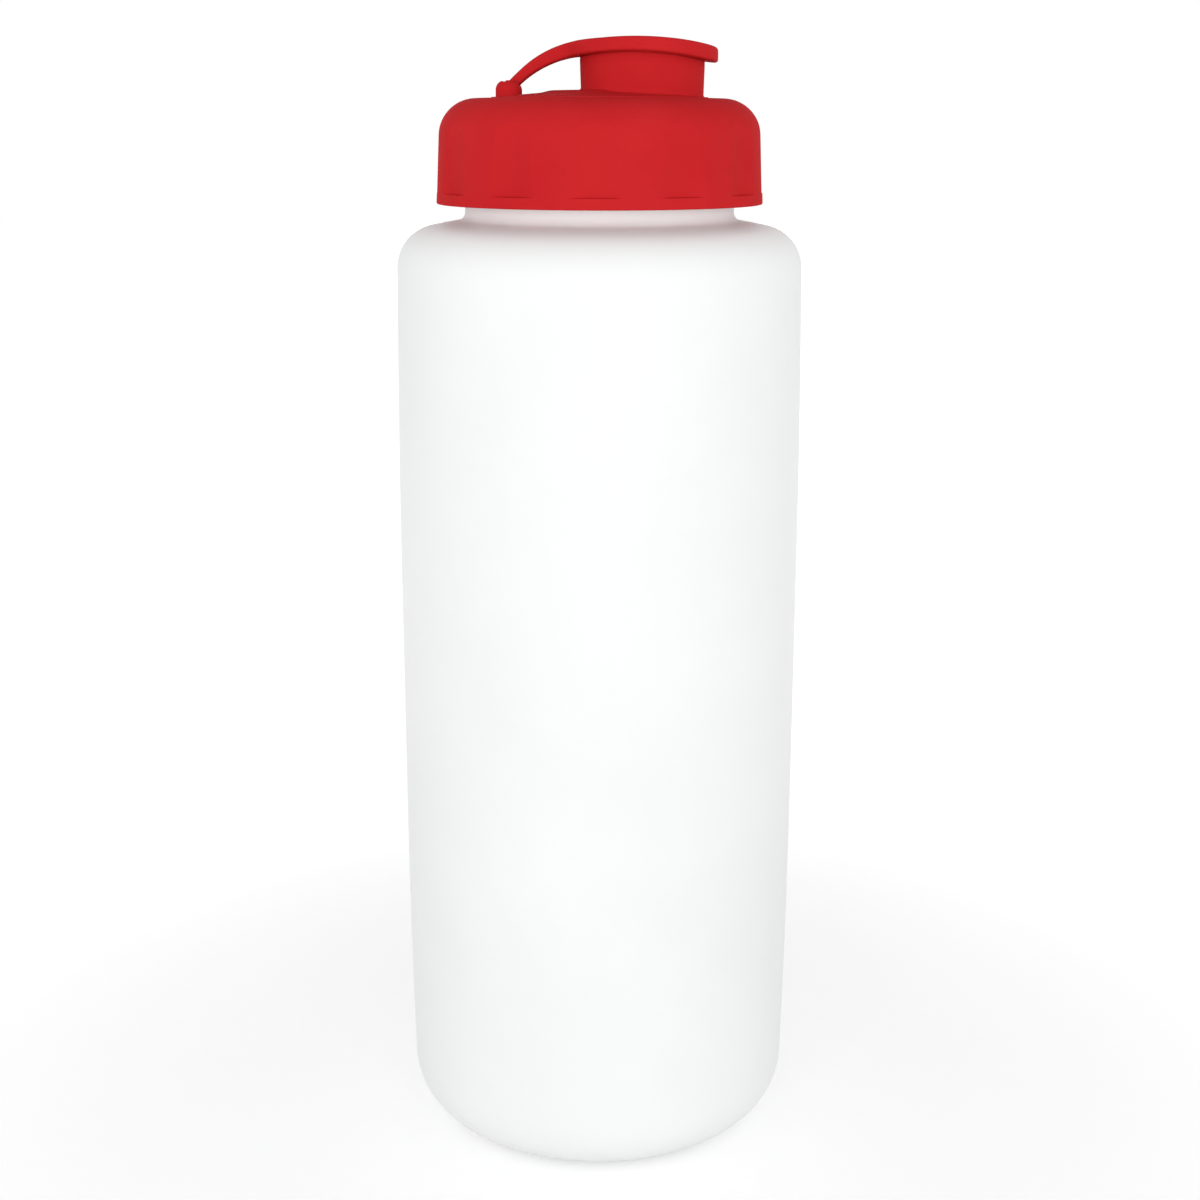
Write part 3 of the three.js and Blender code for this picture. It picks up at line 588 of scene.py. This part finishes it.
def lid_shell():
    """One ring-shaped surface, row by row: up the spout's bore, over its rim, down its outside,
    across the lid's top, where rows pass from circles about the spout to circles about the
    bottle, over the shoulder, down the fluted skirt, and back along the inside."""
    angle = FULL_TURN * np.arange(LID_COLUMNS) / LID_COLUMNS
    bore = SPOUT_RADIUS - SPOUT_WALL

    def row(flat, height):
        return np.concatenate([flat, np.broadcast_to(height, angle.shape)[:, None]], axis=-1)

    rows = []
    bore_circle = circle(SPOUT_OFFSET, bore, angle)
    foot = lid_inside(np.hypot(*bore_circle.T))
    for share in np.linspace(0, 1, BORE_ROWS)[:-1]:
        top = spout_rim_height(bore_circle[:, 0]) - SPOUT_RIM_BAND
        rows.append(row(bore_circle, foot + (top - foot) * share))
    rim_width = SPOUT_WALL + SPOUT_FLARE
    rim = rounded_outline([
        (0, -SPOUT_RIM_BAND, 0), (0, 0, SPOUT_RIM_ROUND),
        (rim_width, 0, SPOUT_RIM_ROUND), (rim_width, -SPOUT_RIM_BAND, 0),
    ], steps=5)
    for out, drop in rim[:-1]:
        flat = circle(SPOUT_OFFSET, bore + out, angle)
        rows.append(row(flat, spout_rim_height(flat[:, 0]) + drop))
    for share in np.linspace(0, 1, SPOUT_ROWS):
        flat = circle(SPOUT_OFFSET, SPOUT_RADIUS + SPOUT_FLARE * (1 - share), angle)
        top = spout_rim_height(flat[:, 0]) - SPOUT_RIM_BAND
        bottom = lid_outside(np.hypot(*flat.T)) + SPOUT_FOOT_ROUND
        rows.append(row(flat, top + (bottom - top) * share))
    for turn in np.radians(np.linspace(0, 90, SPOUT_ROWS))[1:]:
        flat = circle(SPOUT_OFFSET, SPOUT_RADIUS + SPOUT_FOOT_ROUND * (1 - math.cos(turn)), angle)
        rise = SPOUT_FOOT_ROUND * (1 - math.sin(turn))
        rows.append(row(flat, lid_outside(np.hypot(*flat.T)) + rise))
    inner_circle = circle(SPOUT_OFFSET, SPOUT_RADIUS + SPOUT_FOOT_ROUND, angle)
    dome_circle = circle(0, DOME_RADIUS, angle)
    for share in np.linspace(0, 1, LID_TOP_ROWS)[1:]:
        flat = inner_circle + (dome_circle - inner_circle) * share
        rows.append(row(flat, lid_outside(np.hypot(*flat.T))))
    rows.append(row(circle(0, DOME_RADIUS + DOME_FOOT_WIDTH, angle), LID_TOP))

    centre = (SHOULDER_CENTRE_RADIUS, SHOULDER_CENTRE_HEIGHT)
    ledge = LID_RIM + FLUTE_LEDGE_HEIGHT
    skirt_share = (ledge - LID_RIM) / (SHOULDER_CENTRE_HEIGHT - LID_RIM)
    ledge_radius = LID_RIM_RADIUS + (LID_SKIRT_TOP_RADIUS - LID_RIM_RADIUS) * skirt_share
    ledge_heights = ledge + FLUTE_LEDGE_SOFTNESS * np.linspace(1, 0, LEDGE_ROWS)
    ledge_radii = np.full_like(ledge_heights, ledge_radius)
    above_ledge = np.array([(LID_SKIRT_TOP_RADIUS, SHOULDER_CENTRE_HEIGHT),
                            (ledge_radius, ledge_heights[0])])
    outside = np.vstack([
        arc(centre, LID_SHOULDER_ROUND, 90, 0, steps=26)[:-1],
        spaced(above_ledge, longest=1.2)[:-1],
        np.column_stack([ledge_radii, ledge_heights]),
    ])
    for radius, height in outside:
        flat = circle(0, fluted(radius, height, angle), angle)
        rows.append(row(flat, height))

    inner_round = LID_SHOULDER_ROUND - LID_SHOULDER_WALL
    from_bore = math.degrees(math.acos((LID_BORE_RADIUS - centre[0]) / inner_round))
    to_top = math.degrees(math.asin((LID_UNDERSIDE - centre[1]) / inner_round))
    plug_inner = LID_PLUG_RADIUS - LID_PLUG_WALL
    plug_bottom = LID_UNDERSIDE - LID_PLUG_DEPTH
    rim_band = rounded_outline([
        (ledge_radius, ledge - FLUTE_LEDGE_FOOT, 0), (LID_RIM_RADIUS, LID_RIM, LID_EDGE_ROUND),
        (LID_BORE_RADIUS + LID_LEAD_IN, LID_RIM, LID_LEAD_IN_ROUND),
        (LID_BORE_RADIUS, LID_RIM + LID_LEAD_IN, LID_LEAD_IN_ROUND),
        (LID_BORE_RADIUS, centre[1], 0),
    ], steps=3)
    plug_ring = rounded_outline([
        (LID_PLUG_RADIUS + LID_PLUG_LANDING, LID_UNDERSIDE, 0),
        (LID_PLUG_RADIUS, LID_UNDERSIDE, LID_PLUG_FOOT_ROUND),
        (LID_PLUG_RADIUS, plug_bottom, LID_PLUG_ROUND),
        (plug_inner, plug_bottom, LID_PLUG_ROUND),
        (plug_inner, LID_UNDERSIDE, LID_PLUG_ROUND), (DOME_RADIUS, LID_UNDERSIDE, 0),
    ], steps=3)
    inside = np.vstack([
        spaced(rim_band, WALL_ROW_SPACING),
        arc(centre, inner_round, from_bore, to_top, steps=6),
        plug_ring,
    ])
    rows.extend(revolved(inside, LID_COLUMNS))
    for share in np.linspace(0, 1, LID_UNDERSIDE_ROWS)[1:-1]:
        flat = dome_circle + (bore_circle - dome_circle) * share
        rows.append(row(flat, lid_inside(np.hypot(*flat.T))))
    return ring_surface("lid_shell", np.stack(rows))


def prism(name, outline, low_y, high_y):
    """A flat outline in X and Z carried along Y, with its two ends as single faces."""
    count = len(outline)
    points = [(x, y, z) for y in (low_y, high_y) for x, z in outline]
    ring = [(k, (k + 1) % count, count + (k + 1) % count, count + k) for k in range(count)]
    faces = [tuple(range(count))[::-1], tuple(range(count, 2 * count)), *ring]
    mesh = bpy.data.meshes.new(name)
    mesh.from_pydata(np.array(points) * MILLIMETRE, [], faces)
    work = bmesh.new()
    work.from_mesh(mesh)
    bmesh.ops.recalc_face_normals(work, faces=work.faces)
    work.to_mesh(mesh)
    work.free()
    cutter = bpy.data.objects.new(name, mesh)
    bpy.context.scene.collection.objects.link(cutter)
    return cutter


def hinge_ear(name, side):
    """A round pillar with a rounded top, cut flat towards the strap by holding its points at
    that plane. A keyhole is cut into the flat face, a round seat with a leaning mouth that
    is narrower than the pin, and a shallow notch crosses the top."""
    inner = STRAP_WIDTH / 2 + HINGE_SIDE_GAP
    top = LID_TOP + EAR_HEIGHT
    outline = rounded_outline([
        (EAR_POLE_RADIUS, top, 0), (EAR_RADIUS, top, EAR_ROUND),
        (EAR_RADIUS, LID_TOP - EAR_EMBED, 0),
    ], steps=10)
    middle = (HINGE_X, inner + EAR_DEPTH - EAR_RADIUS)
    grid = revolved(spaced(outline, longest=0.5), SMALL_COLUMNS, middle)
    grid[..., 1] = side * np.maximum(grid[..., 1], inner)
    ear = ended_surface(name, grid, merge=True)
    seat_radius = PIN_RADIUS + PIN_GAP
    lean = 90 + math.degrees(SNAP_LEAN)
    opening = math.degrees(math.asin(SNAP_MOUTH / 2 / seat_radius))
    seat_arc = arc((HINGE_X, HINGE_Z), seat_radius,
                   lean + opening, lean - opening + 360, steps=40)
    up = np.array([-math.sin(SNAP_LEAN), math.cos(SNAP_LEAN)]) * 2 * EAR_HEIGHT
    keyhole = np.vstack([seat_arc, seat_arc[-1] + up, seat_arc[0] + up])
    seat_end = inner + PIN_LENGTH + PIN_GAP
    cut_from = inner - CUT_OVERREACH
    notch_x = HINGE_X - (top - HINGE_Z) * math.tan(SNAP_LEAN)
    left, right = notch_x - SNAP_NOTCH_WIDTH / 2, notch_x + SNAP_NOTCH_WIDTH / 2
    notch_floor, above = top - SNAP_NOTCH_DEPTH, top + CUT_OVERREACH
    notch = rounded_outline([
        (right, above, 0), (right, notch_floor, SNAP_NOTCH_ROUND),
        (left, notch_floor, SNAP_NOTCH_ROUND), (left, above, 0),
    ])
    cutters = [
        prism("keyhole", keyhole, side * cut_from, side * seat_end),
        prism("notch", notch, side * cut_from, side * (inner + 2 * EAR_DEPTH)),
    ]
    for cutter in cutters:
        cut = ear.modifiers.new(cutter.name, "BOOLEAN")
        cut.object = cutter
        cut.solver = "MANIFOLD"
    graph = bpy.context.evaluated_depsgraph_get()
    carved = bpy.data.meshes.new_from_object(ear.evaluated_get(graph))
    ear.modifiers.clear()
    ear.data = carved
    for cutter in cutters:
        bpy.data.objects.remove(cutter)
    # The cut leaves an empty material slot, which would come before the ear's own
    carved.materials.clear()
    finish_shading(carved)
    return ear


# Flip cap

def on_cap(along, across, above):
    """A point of the cap, by its distance along the centre line, across it and above it. Above
    is square to the line on the strap and turns plumb on the disc."""
    on_strap = along < bend_along
    angle = np.where(on_strap, bend_angle + (along - bend_along) / strap_line, along / crown_line)
    x = np.where(on_strap, strap_x, crown_x)
    z = np.where(on_strap, strap_z, crown_z)
    line = np.where(on_strap, strap_line, crown_line)
    lean = angle * (1 - smoothstep(along, bend_along, disc_along))
    x = x + line * np.sin(angle) + above * np.sin(lean)
    z = z + line * np.cos(angle) + above * np.cos(lean)
    return np.stack([x, across + 0 * x, z], axis=-1)


def cap_outline():
    """Edge of the cap on one side, and the point on the centre line that faces each edge point
    squarely: the straight strap, a hollow flare and the disc's circle, which meet smoothly."""
    half = STRAP_WIDTH / 2
    flare_start = disc_along - math.sqrt((CAP_DISC_RADIUS + STRAP_FLARE_RADIUS) ** 2
                                         - (half + STRAP_FLARE_RADIUS) ** 2)
    strap = np.linspace(tail_along, flare_start, STRAP_ROWS)
    strap_rows = np.column_stack([strap, strap, np.full_like(strap, half)])
    last = math.atan2(disc_along - flare_start, half + STRAP_FLARE_RADIUS)
    turn = np.linspace(0, last, FLARE_ROWS)[1:]
    flare_rows = np.column_stack([
        flare_start + (half + STRAP_FLARE_RADIUS) * np.tan(turn),
        flare_start + STRAP_FLARE_RADIUS * np.sin(turn),
        half + STRAP_FLARE_RADIUS - STRAP_FLARE_RADIUS * np.cos(turn),
    ])
    turn = np.linspace(math.pi / 2 + last, 0, DISC_ROWS)[1:]
    disc_rows = np.column_stack([
        np.full_like(turn, disc_along),
        disc_along + CAP_DISC_RADIUS * np.cos(turn),
        CAP_DISC_RADIUS * np.sin(turn),
    ])
    return np.vstack([strap_rows, flare_rows, disc_rows])


def cap_plate():
    """Disc and strap as ribs: each runs from the centre line over the top, round the rounded
    edge and back under it. A rib point is its edge point drawn in by an inset and lowered by a
    drop, both from a quarter circle, and laid on the cap's two arcs."""
    side = cap_outline()
    outline = np.vstack([side * [1, 1, -1], side[-2::-1]])
    spine, edge, edge_y = (outline[:, k:k + 1] for k in range(3))
    width = np.hypot(edge - spine, edge_y)
    turn = np.radians(np.linspace(90, 0, RIB_EDGE_POINTS))
    flat_share = np.linspace(1, 0, RIB_POINTS)[:-1]
    halves = []
    for face, edge_round in ((1, CAP_TOP_ROUND), (-1, CAP_UNDER_ROUND)):
        round_inset = edge_round * (1 - np.cos(turn))
        round_drop = edge_round * (1 - np.sin(turn))
        flat_inset = edge_round + (width - edge_round) * flat_share
        rounded = np.broadcast_to(round_inset, (len(outline), len(turn)))
        inset = np.concatenate([flat_inset, rounded], axis=1)
        drop = np.concatenate([np.zeros(len(flat_share)), round_drop])
        share = 1 - inset / width
        along = spine + (edge - spine) * share
        points = on_cap(along, edge_y * share, face * (half_thickness(along, face) - drop))
        halves.append(points if face > 0 else points[:, ::-1])
    grid = np.concatenate(halves, axis=1)
    rows, columns = grid.shape[:2]
    points = np.vstack([grid.reshape(-1, 3), on_cap(np.array(tail_along), 0.0, 0.0)])
    tail = len(points) - 1
    column = np.arange(columns - 1)
    start = (rows - 1) * columns
    tails = np.full(columns - 1, tail)
    fans = np.vstack([
        np.column_stack([tails, column + 1, column]),
        np.column_stack([tails, start + column, start + column + 1]),
    ])
    quads = grid_quads(rows, columns, False, columns_join=False)
    return mesh_piece("cap_plate", points, quads, fans, merge=True)


def cap_hinge_bar():
    """A bar turned about the hinge line: a barrel under the strap's end and a thinner pin with
    a rounded tip at each side."""
    barrel, half = STRAP_TAIL_THICKNESS / 2, STRAP_WIDTH / 2
    tip = half + HINGE_SIDE_GAP + PIN_LENGTH
    outline = rounded_outline([
        (PIN_POLE_RADIUS, -tip, 0), (PIN_RADIUS, -tip, PIN_TIP_ROUND),
        (PIN_RADIUS, -half, PIN_FOOT_ROUND), (barrel, -half, BARREL_ROUND),
        (barrel, half, BARREL_ROUND), (PIN_RADIUS, half, PIN_FOOT_ROUND),
        (PIN_RADIUS, tip, PIN_TIP_ROUND), (PIN_POLE_RADIUS, tip, 0),
    ], steps=4)
    x, z, y = np.moveaxis(revolved(outline, SMALL_COLUMNS), -1, 0)
    return ended_surface("cap_hinge_bar", np.stack([HINGE_X + x, y, HINGE_Z + z], axis=-1))


def cap_plug():
    """A hollow ring under the disc, turned about the spout's axis. It narrows downwards to a
    rounded lip, and its top lies inside the disc."""
    top = on_cap(np.array(disc_along + PLUG_RADIUS), 0.0, 0.0)[2]
    seat_z = on_cap(np.array(disc_along), 0.0, -CAP_THICKNESS / 2)[2]
    bottom = seat_z - PLUG_DEPTH
    tip = PLUG_RADIUS - PLUG_TAPER
    middle = PLUG_RADIUS - PLUG_WALL / 2
    section = rounded_outline([
        (middle, top, 0), (PLUG_RADIUS - PLUG_WALL, top, PLUG_TOP_ROUND),
        (tip - PLUG_WALL, bottom, PLUG_LIP_INNER_ROUND), (tip, bottom, PLUG_LIP_OUTER_ROUND),
        (PLUG_RADIUS, seat_z, PLUG_SEAT_ROUND), (PLUG_RADIUS, top, PLUG_TOP_ROUND),
        (middle, top, 0),
    ], steps=5)
    grid = revolved(spaced(section, longest=1.0)[:-1], PLUG_COLUMNS, (SPOUT_OFFSET, 0.0))
    return ring_surface("cap_plug", grid)


def cap_seal_land():
    """A thin ring round the plug that closes the slit between disc and rim. Its underside keeps
    a small gap above the rim's arch, and its top lies inside the disc."""
    inner = PLUG_RADIUS - PLUG_WALL / 2
    outer = SPOUT_RADIUS + SPOUT_FLARE - SEAL_LAND_INSET
    angle = FULL_TURN * np.arange(PLUG_COLUMNS) / PLUG_COLUMNS
    low, high = SEAL_LAND_GAP, CAP_SEAT_GAP + CAP_THICKNESS / 2
    rows = []
    for radius, rise in ((inner, low), (outer, low), (outer, high), (inner, high)):
        flat = circle(SPOUT_OFFSET, radius, angle)
        rows.append(np.column_stack([flat, spout_rim_height(flat[:, 0]) + rise]))
    return ring_surface("cap_seal_land", np.stack(rows))


# Materials

PLASTIC_IOR = 1.5


def add_node(tree, kind, settings=None, **inputs):
    """A node with its settings and its unlinked inputs."""
    node = tree.nodes.new(kind)
    for name, value in (settings or {}).items():
        setattr(node, name, value)
    for name, value in inputs.items():
        node.inputs[name.replace("_", " ")].default_value = value
    return node


def moulded_skin_group():
    """Skin of moulded plastic, shared by all three materials. Two noises make a slow mottle
    and a fine grain. Their sum, less its mean of 1, varies the roughness, the mottle is also
    given out for the tint, and both raise the surface."""
    group = bpy.data.node_groups.new("moulded_skin", "ShaderNodeTree")
    for name, value in (("Mottle Scale", 40.0), ("Grain Scale", 900.0), ("Roughness", 0.4),
                        ("Roughness Swing", 0.1), ("Wave Height", 0.00002),
                        ("Grain Height", 0.00001)):
        socket = group.interface.new_socket(name, in_out="INPUT", socket_type="NodeSocketFloat")
        socket.default_value = value
    group.interface.new_socket("Mottle", in_out="OUTPUT", socket_type="NodeSocketFloat")
    group.interface.new_socket("Roughness", in_out="OUTPUT", socket_type="NodeSocketFloat")
    group.interface.new_socket("Normal", in_out="OUTPUT", socket_type="NodeSocketVector")
    link = group.links.new
    given = add_node(group, "NodeGroupInput").outputs
    result = add_node(group, "NodeGroupOutput").inputs
    place = add_node(group, "ShaderNodeTexCoord").outputs["Object"]
    mottle = add_node(group, "ShaderNodeTexNoise", Detail=3.0, Roughness=0.55)
    grain = add_node(group, "ShaderNodeTexNoise", Detail=2.0, Roughness=0.6)
    link(place, mottle.inputs["Vector"])
    link(place, grain.inputs["Vector"])
    link(given["Mottle Scale"], mottle.inputs["Scale"])
    link(given["Grain Scale"], grain.inputs["Scale"])
    both = add_node(group, "ShaderNodeMath", {"operation": "ADD"})
    link(mottle.outputs["Fac"], both.inputs[0])
    link(grain.outputs["Fac"], both.inputs[1])
    centred = add_node(group, "ShaderNodeMath", {"operation": "SUBTRACT"})
    link(both.outputs[0], centred.inputs[0])
    centred.inputs[1].default_value = 1.0
    gloss = add_node(group, "ShaderNodeMath", {"operation": "MULTIPLY_ADD", "use_clamp": True})
    link(centred.outputs[0], gloss.inputs[0])
    link(given["Roughness Swing"], gloss.inputs[1])
    link(given["Roughness"], gloss.inputs[2])
    wave = add_node(group, "ShaderNodeBump", Strength=1.0)
    link(given["Wave Height"], wave.inputs["Distance"])
    link(mottle.outputs["Fac"], wave.inputs["Height"])
    fine = add_node(group, "ShaderNodeBump", Strength=1.0)
    link(given["Grain Height"], fine.inputs["Distance"])
    link(grain.outputs["Fac"], fine.inputs["Height"])
    link(wave.outputs["Normal"], fine.inputs["Normal"])
    link(mottle.outputs["Fac"], result["Mottle"])
    link(gloss.outputs[0], result["Roughness"])
    link(fine.outputs["Normal"], result["Normal"])
    return group


def plastic(name, skin, dark, light, specular, **values):
    """A moulded plastic: the skin's mottle passes from the dark tint to the light one."""
    material = bpy.data.materials.new(name)
    material.use_nodes = True
    tree = material.node_tree
    shader = tree.nodes["Principled BSDF"]
    shader.inputs["IOR"].default_value = PLASTIC_IOR
    shader.inputs["Specular IOR Level"].default_value = specular
    surface = add_node(tree, "ShaderNodeGroup", {"node_tree": skin}, **values)
    tint = add_node(tree, "ShaderNodeMix", {"data_type": "RGBA"})
    tint.inputs["A"].default_value = (*dark, 1)
    tint.inputs["B"].default_value = (*light, 1)
    stretch = add_node(tree, "ShaderNodeMapRange", From_Min=0.3, From_Max=0.7)
    tree.links.new(surface.outputs["Mottle"], stretch.inputs["Value"])
    tree.links.new(stretch.outputs["Result"], tint.inputs["Factor"])
    tree.links.new(tint.outputs["Result"], shader.inputs["Base Color"])
    tree.links.new(surface.outputs["Roughness"], shader.inputs["Roughness"])
    tree.links.new(surface.outputs["Normal"], shader.inputs["Normal"])
    return material


skin = moulded_skin_group()
white_bottle_plastic = plastic(
    "white_bottle_plastic", skin,
    dark=(0.895, 0.905, 0.902), light=(0.925, 0.933, 0.928), specular=0.25,
    Mottle_Scale=28.0, Grain_Scale=620.0, Roughness=0.50, Roughness_Swing=0.10,
    Wave_Height=0.00006, Grain_Height=0.000012)
red_lid_plastic = plastic(
    "red_lid_plastic", skin,
    dark=(0.550, 0.017, 0.020), light=(0.590, 0.021, 0.024), specular=0.03,
    Mottle_Scale=60.0, Grain_Scale=1100.0, Roughness=0.80, Roughness_Swing=0.12,
    Wave_Height=0.00003, Grain_Height=0.000010)
soft_ring_foam = plastic(
    "soft_ring_foam", skin,
    dark=(0.74, 0.72, 0.66), light=(0.83, 0.81, 0.75), specular=0.3,
    Mottle_Scale=300.0, Grain_Scale=2400.0, Roughness=0.75, Roughness_Swing=0.15,
    Wave_Height=0.00003, Grain_Height=0.00004)

# Pieces on their bodies

seat(bottle_shell(), "bottle", "bottle", white_bottle_plastic)
bottle_thread_z = MOUTH_HEIGHT - BOTTLE_THREAD_DROP
seat(thread_ridge("bottle_thread", FINISH_RADIUS, 1, BOTTLE_THREAD_WIDTHS, BOTTLE_THREAD_TURNS,
                  0.0, bottle_thread_z), "bottle", "bottle", white_bottle_plastic)
seat(sealing_ring(), "gasket", "lid_gasket", soft_ring_foam)
seat(lid_shell(), "lid", "screw_lid", red_lid_plastic)
lid_thread_z = LID_RIM + LID_THREAD_RISE
# The lid's ridge runs midway between the turns of the bottle's, half a lead above it
lid_thread_angle = FULL_TURN * ((lid_thread_z - bottle_thread_z) / THREAD_LEAD - 1 / 2)
seat(thread_ridge("lid_thread", LID_BORE_RADIUS, -1, LID_THREAD_WIDTHS, LID_THREAD_TURNS,
                  lid_thread_angle, lid_thread_z), "lid", "screw_lid", red_lid_plastic)
for ear_name, ear_side in (("front_hinge_ear", -1), ("back_hinge_ear", 1)):
    seat(hinge_ear(ear_name, ear_side), "lid", "screw_lid", red_lid_plastic)
seat(cap_plate(), "cap", "flip_cap", red_lid_plastic)
seat(cap_hinge_bar(), "cap", "flip_cap", red_lid_plastic)
seat(cap_plug(), "cap", "flip_cap", red_lid_plastic)
seat(cap_seal_land(), "cap", "flip_cap", red_lid_plastic)

# Floor, backdrop and light. The floor's sizes are in millimetres, but its fade and the
# lamps' sizes and places are in metres.

WHITE = (1.0, 1.0, 1.0, 1.0)
FLOOR_COLOUR = (0.92, 0.92, 0.92, 1.0)
FLOOR_RADIUS = 4000.0
FLOOR_INNER_RADIUS = 5.0
FLOOR_DROP = 0.05
FLOOR_ROWS = 24
FLOOR_COLUMNS = 64
FLOOR_LIFT = 0.33
FLOOR_FADE = (0.06, 0.5)
HORIZON_LIGHT = 1.95
HORIZON_FALLOFF = 2.5
ZENITH_LIGHT = 0.4
LAMP_POWER = 1.85
LAMP_WIDTH = 0.5
LAMP_DEPTH = 0.25
LAMP_DISTANCE = 1.2
LAMP_HEIGHT = 0.22
LAMP_AZIMUTH = math.radians(18)


def shows_backdrop(tree):
    """1 for the rays that bring the backdrop to the eye: straight, off gloss or through glass."""
    rays = add_node(tree, "ShaderNodeLightPath")
    seen = rays.outputs["Is Camera Ray"]
    for kind in ("Is Glossy Ray", "Is Transmission Ray"):
        either = add_node(tree, "ShaderNodeMath", {"operation": "MAXIMUM"})
        tree.links.new(seen, either.inputs[0])
        tree.links.new(rays.outputs[kind], either.inputs[1])
        seen = either.outputs[0]
    return seen


def studio_floor():
    """A wide disc under the bottle, turned from a flat outline. To the eye it glows a little
    near the bottle and fades into the white backdrop further out."""
    radii = np.geomspace(FLOOR_INNER_RADIUS, FLOOR_RADIUS, FLOOR_ROWS)
    outline = np.column_stack([radii, np.full(FLOOR_ROWS, -FLOOR_DROP)])
    points = revolved(outline, FLOOR_COLUMNS)
    quads = grid_quads(FLOOR_ROWS, FLOOR_COLUMNS, False)
    column = np.arange(1, FLOOR_COLUMNS - 1)
    middle = np.column_stack([0 * column, column, column + 1])
    mesh = bpy.data.meshes.new("studio_floor")
    faces = [*map(tuple, quads), *map(tuple, middle)]
    mesh.from_pydata(points.reshape(-1, 3) * MILLIMETRE, [], faces)
    floor = bpy.data.objects.new("studio_floor", mesh)
    bpy.context.scene.collection.objects.link(floor)
    material = bpy.data.materials.new("pale_floor")
    material.use_nodes = True
    tree = material.node_tree
    tree.nodes.clear()
    link = tree.links.new
    matte = add_node(tree, "ShaderNodeBsdfDiffuse", Color=FLOOR_COLOUR)
    lift = add_node(tree, "ShaderNodeEmission", Color=WHITE)
    away = add_node(tree, "ShaderNodeVectorMath", {"operation": "LENGTH"})
    link(add_node(tree, "ShaderNodeTexCoord").outputs["Object"], away.inputs[0])
    glow = add_node(tree, "ShaderNodeMapRange", {"interpolation_type": "SMOOTHSTEP"},
                    From_Min=FLOOR_FADE[0], From_Max=FLOOR_FADE[1], To_Min=FLOOR_LIFT, To_Max=1.0)
    link(away.outputs["Value"], glow.inputs["Value"])
    strength = add_node(tree, "ShaderNodeMath", {"operation": "MULTIPLY"})
    link(shows_backdrop(tree), strength.inputs[0])
    link(glow.outputs["Result"], strength.inputs[1])
    link(strength.outputs[0], lift.inputs["Strength"])
    both = add_node(tree, "ShaderNodeAddShader")
    link(matte.outputs[0], both.inputs[0])
    link(lift.outputs[0], both.inputs[1])
    link(both.outputs[0], add_node(tree, "ShaderNodeOutputMaterial").inputs["Surface"])
    mesh.materials.append(material)


def studio_light():
    """A surround that is brightest at the horizon and dims towards the zenith as a power of
    one less the direction's height, white to the eye, and two wide, low lamps behind the
    camera."""
    world = bpy.data.worlds.new("studio")
    bpy.context.scene.world = world
    world.use_nodes = True
    tree = world.node_tree
    link = tree.links.new
    direction = add_node(tree, "ShaderNodeSeparateXYZ")
    link(add_node(tree, "ShaderNodeTexCoord").outputs["Generated"], direction.inputs[0])
    lowness = add_node(tree, "ShaderNodeMath", {"operation": "SUBTRACT", "use_clamp": True})
    lowness.inputs[0].default_value = 1.0
    link(direction.outputs["Z"], lowness.inputs[1])
    falloff = add_node(tree, "ShaderNodeMath", {"operation": "POWER"})
    link(lowness.outputs[0], falloff.inputs[0])
    falloff.inputs[1].default_value = HORIZON_FALLOFF
    sky = add_node(tree, "ShaderNodeMapRange", To_Min=ZENITH_LIGHT, To_Max=HORIZON_LIGHT)
    link(falloff.outputs[0], sky.inputs["Value"])
    strength = add_node(tree, "ShaderNodeMapRange", To_Max=1.0)
    link(shows_backdrop(tree), strength.inputs["Value"])
    link(sky.outputs["Result"], strength.inputs["To Min"])
    backdrop = tree.nodes["Background"]
    backdrop.inputs["Color"].default_value = WHITE
    link(strength.outputs["Result"], backdrop.inputs["Strength"])
    for name, azimuth in (("left_lamp", -LAMP_AZIMUTH), ("right_lamp", LAMP_AZIMUTH)):
        lamp = bpy.data.lights.new(name, "AREA")
        lamp.shape = "RECTANGLE"
        lamp.size, lamp.size_y = LAMP_WIDTH, LAMP_DEPTH
        lamp.energy = LAMP_POWER
        holder = bpy.data.objects.new(name, lamp)
        across, before = LAMP_DISTANCE * math.sin(azimuth), LAMP_DISTANCE * math.cos(azimuth)
        holder.location = (across, -before, LAMP_HEIGHT)
        holder.rotation_euler = (math.pi / 2, 0, azimuth)
        bpy.context.scene.collection.objects.link(holder)


# Camera at the photograph's viewing angle, with its place in metres
CAMERA_PLACE = (0.0, -0.41795, 0.2213)
CAMERA_TILT = math.radians(13.8)
CAMERA_ROLL = math.radians(0.10)
PHOTO_WIDTH_PX = 1200
FOCAL_LENGTH_PX = 1958
PHOTO_AXIS_PX = 598.9
SENSOR_WIDTH = 36.0
NEAREST_SEEN = 0.01


def camera():
    """Looks along +Y, down by the tilt, with the small roll and sideways shift of the photo."""
    lens = bpy.data.cameras.new("photo_camera")
    lens.sensor_width = SENSOR_WIDTH
    lens.lens = FOCAL_LENGTH_PX / PHOTO_WIDTH_PX * SENSOR_WIDTH
    lens.shift_x = (PHOTO_WIDTH_PX / 2 - PHOTO_AXIS_PX) / PHOTO_WIDTH_PX
    lens.clip_start = NEAREST_SEEN
    holder = bpy.data.objects.new("photo_camera", lens)
    holder.location = CAMERA_PLACE
    holder.rotation_mode = "ZYX"
    holder.rotation_euler = (math.pi / 2 - CAMERA_TILT, 0, CAMERA_ROLL)
    bpy.context.scene.collection.objects.link(holder)
    bpy.context.scene.camera = holder


studio_floor()
studio_light()
camera()
bpy.context.scene.view_settings.view_transform = "Standard"
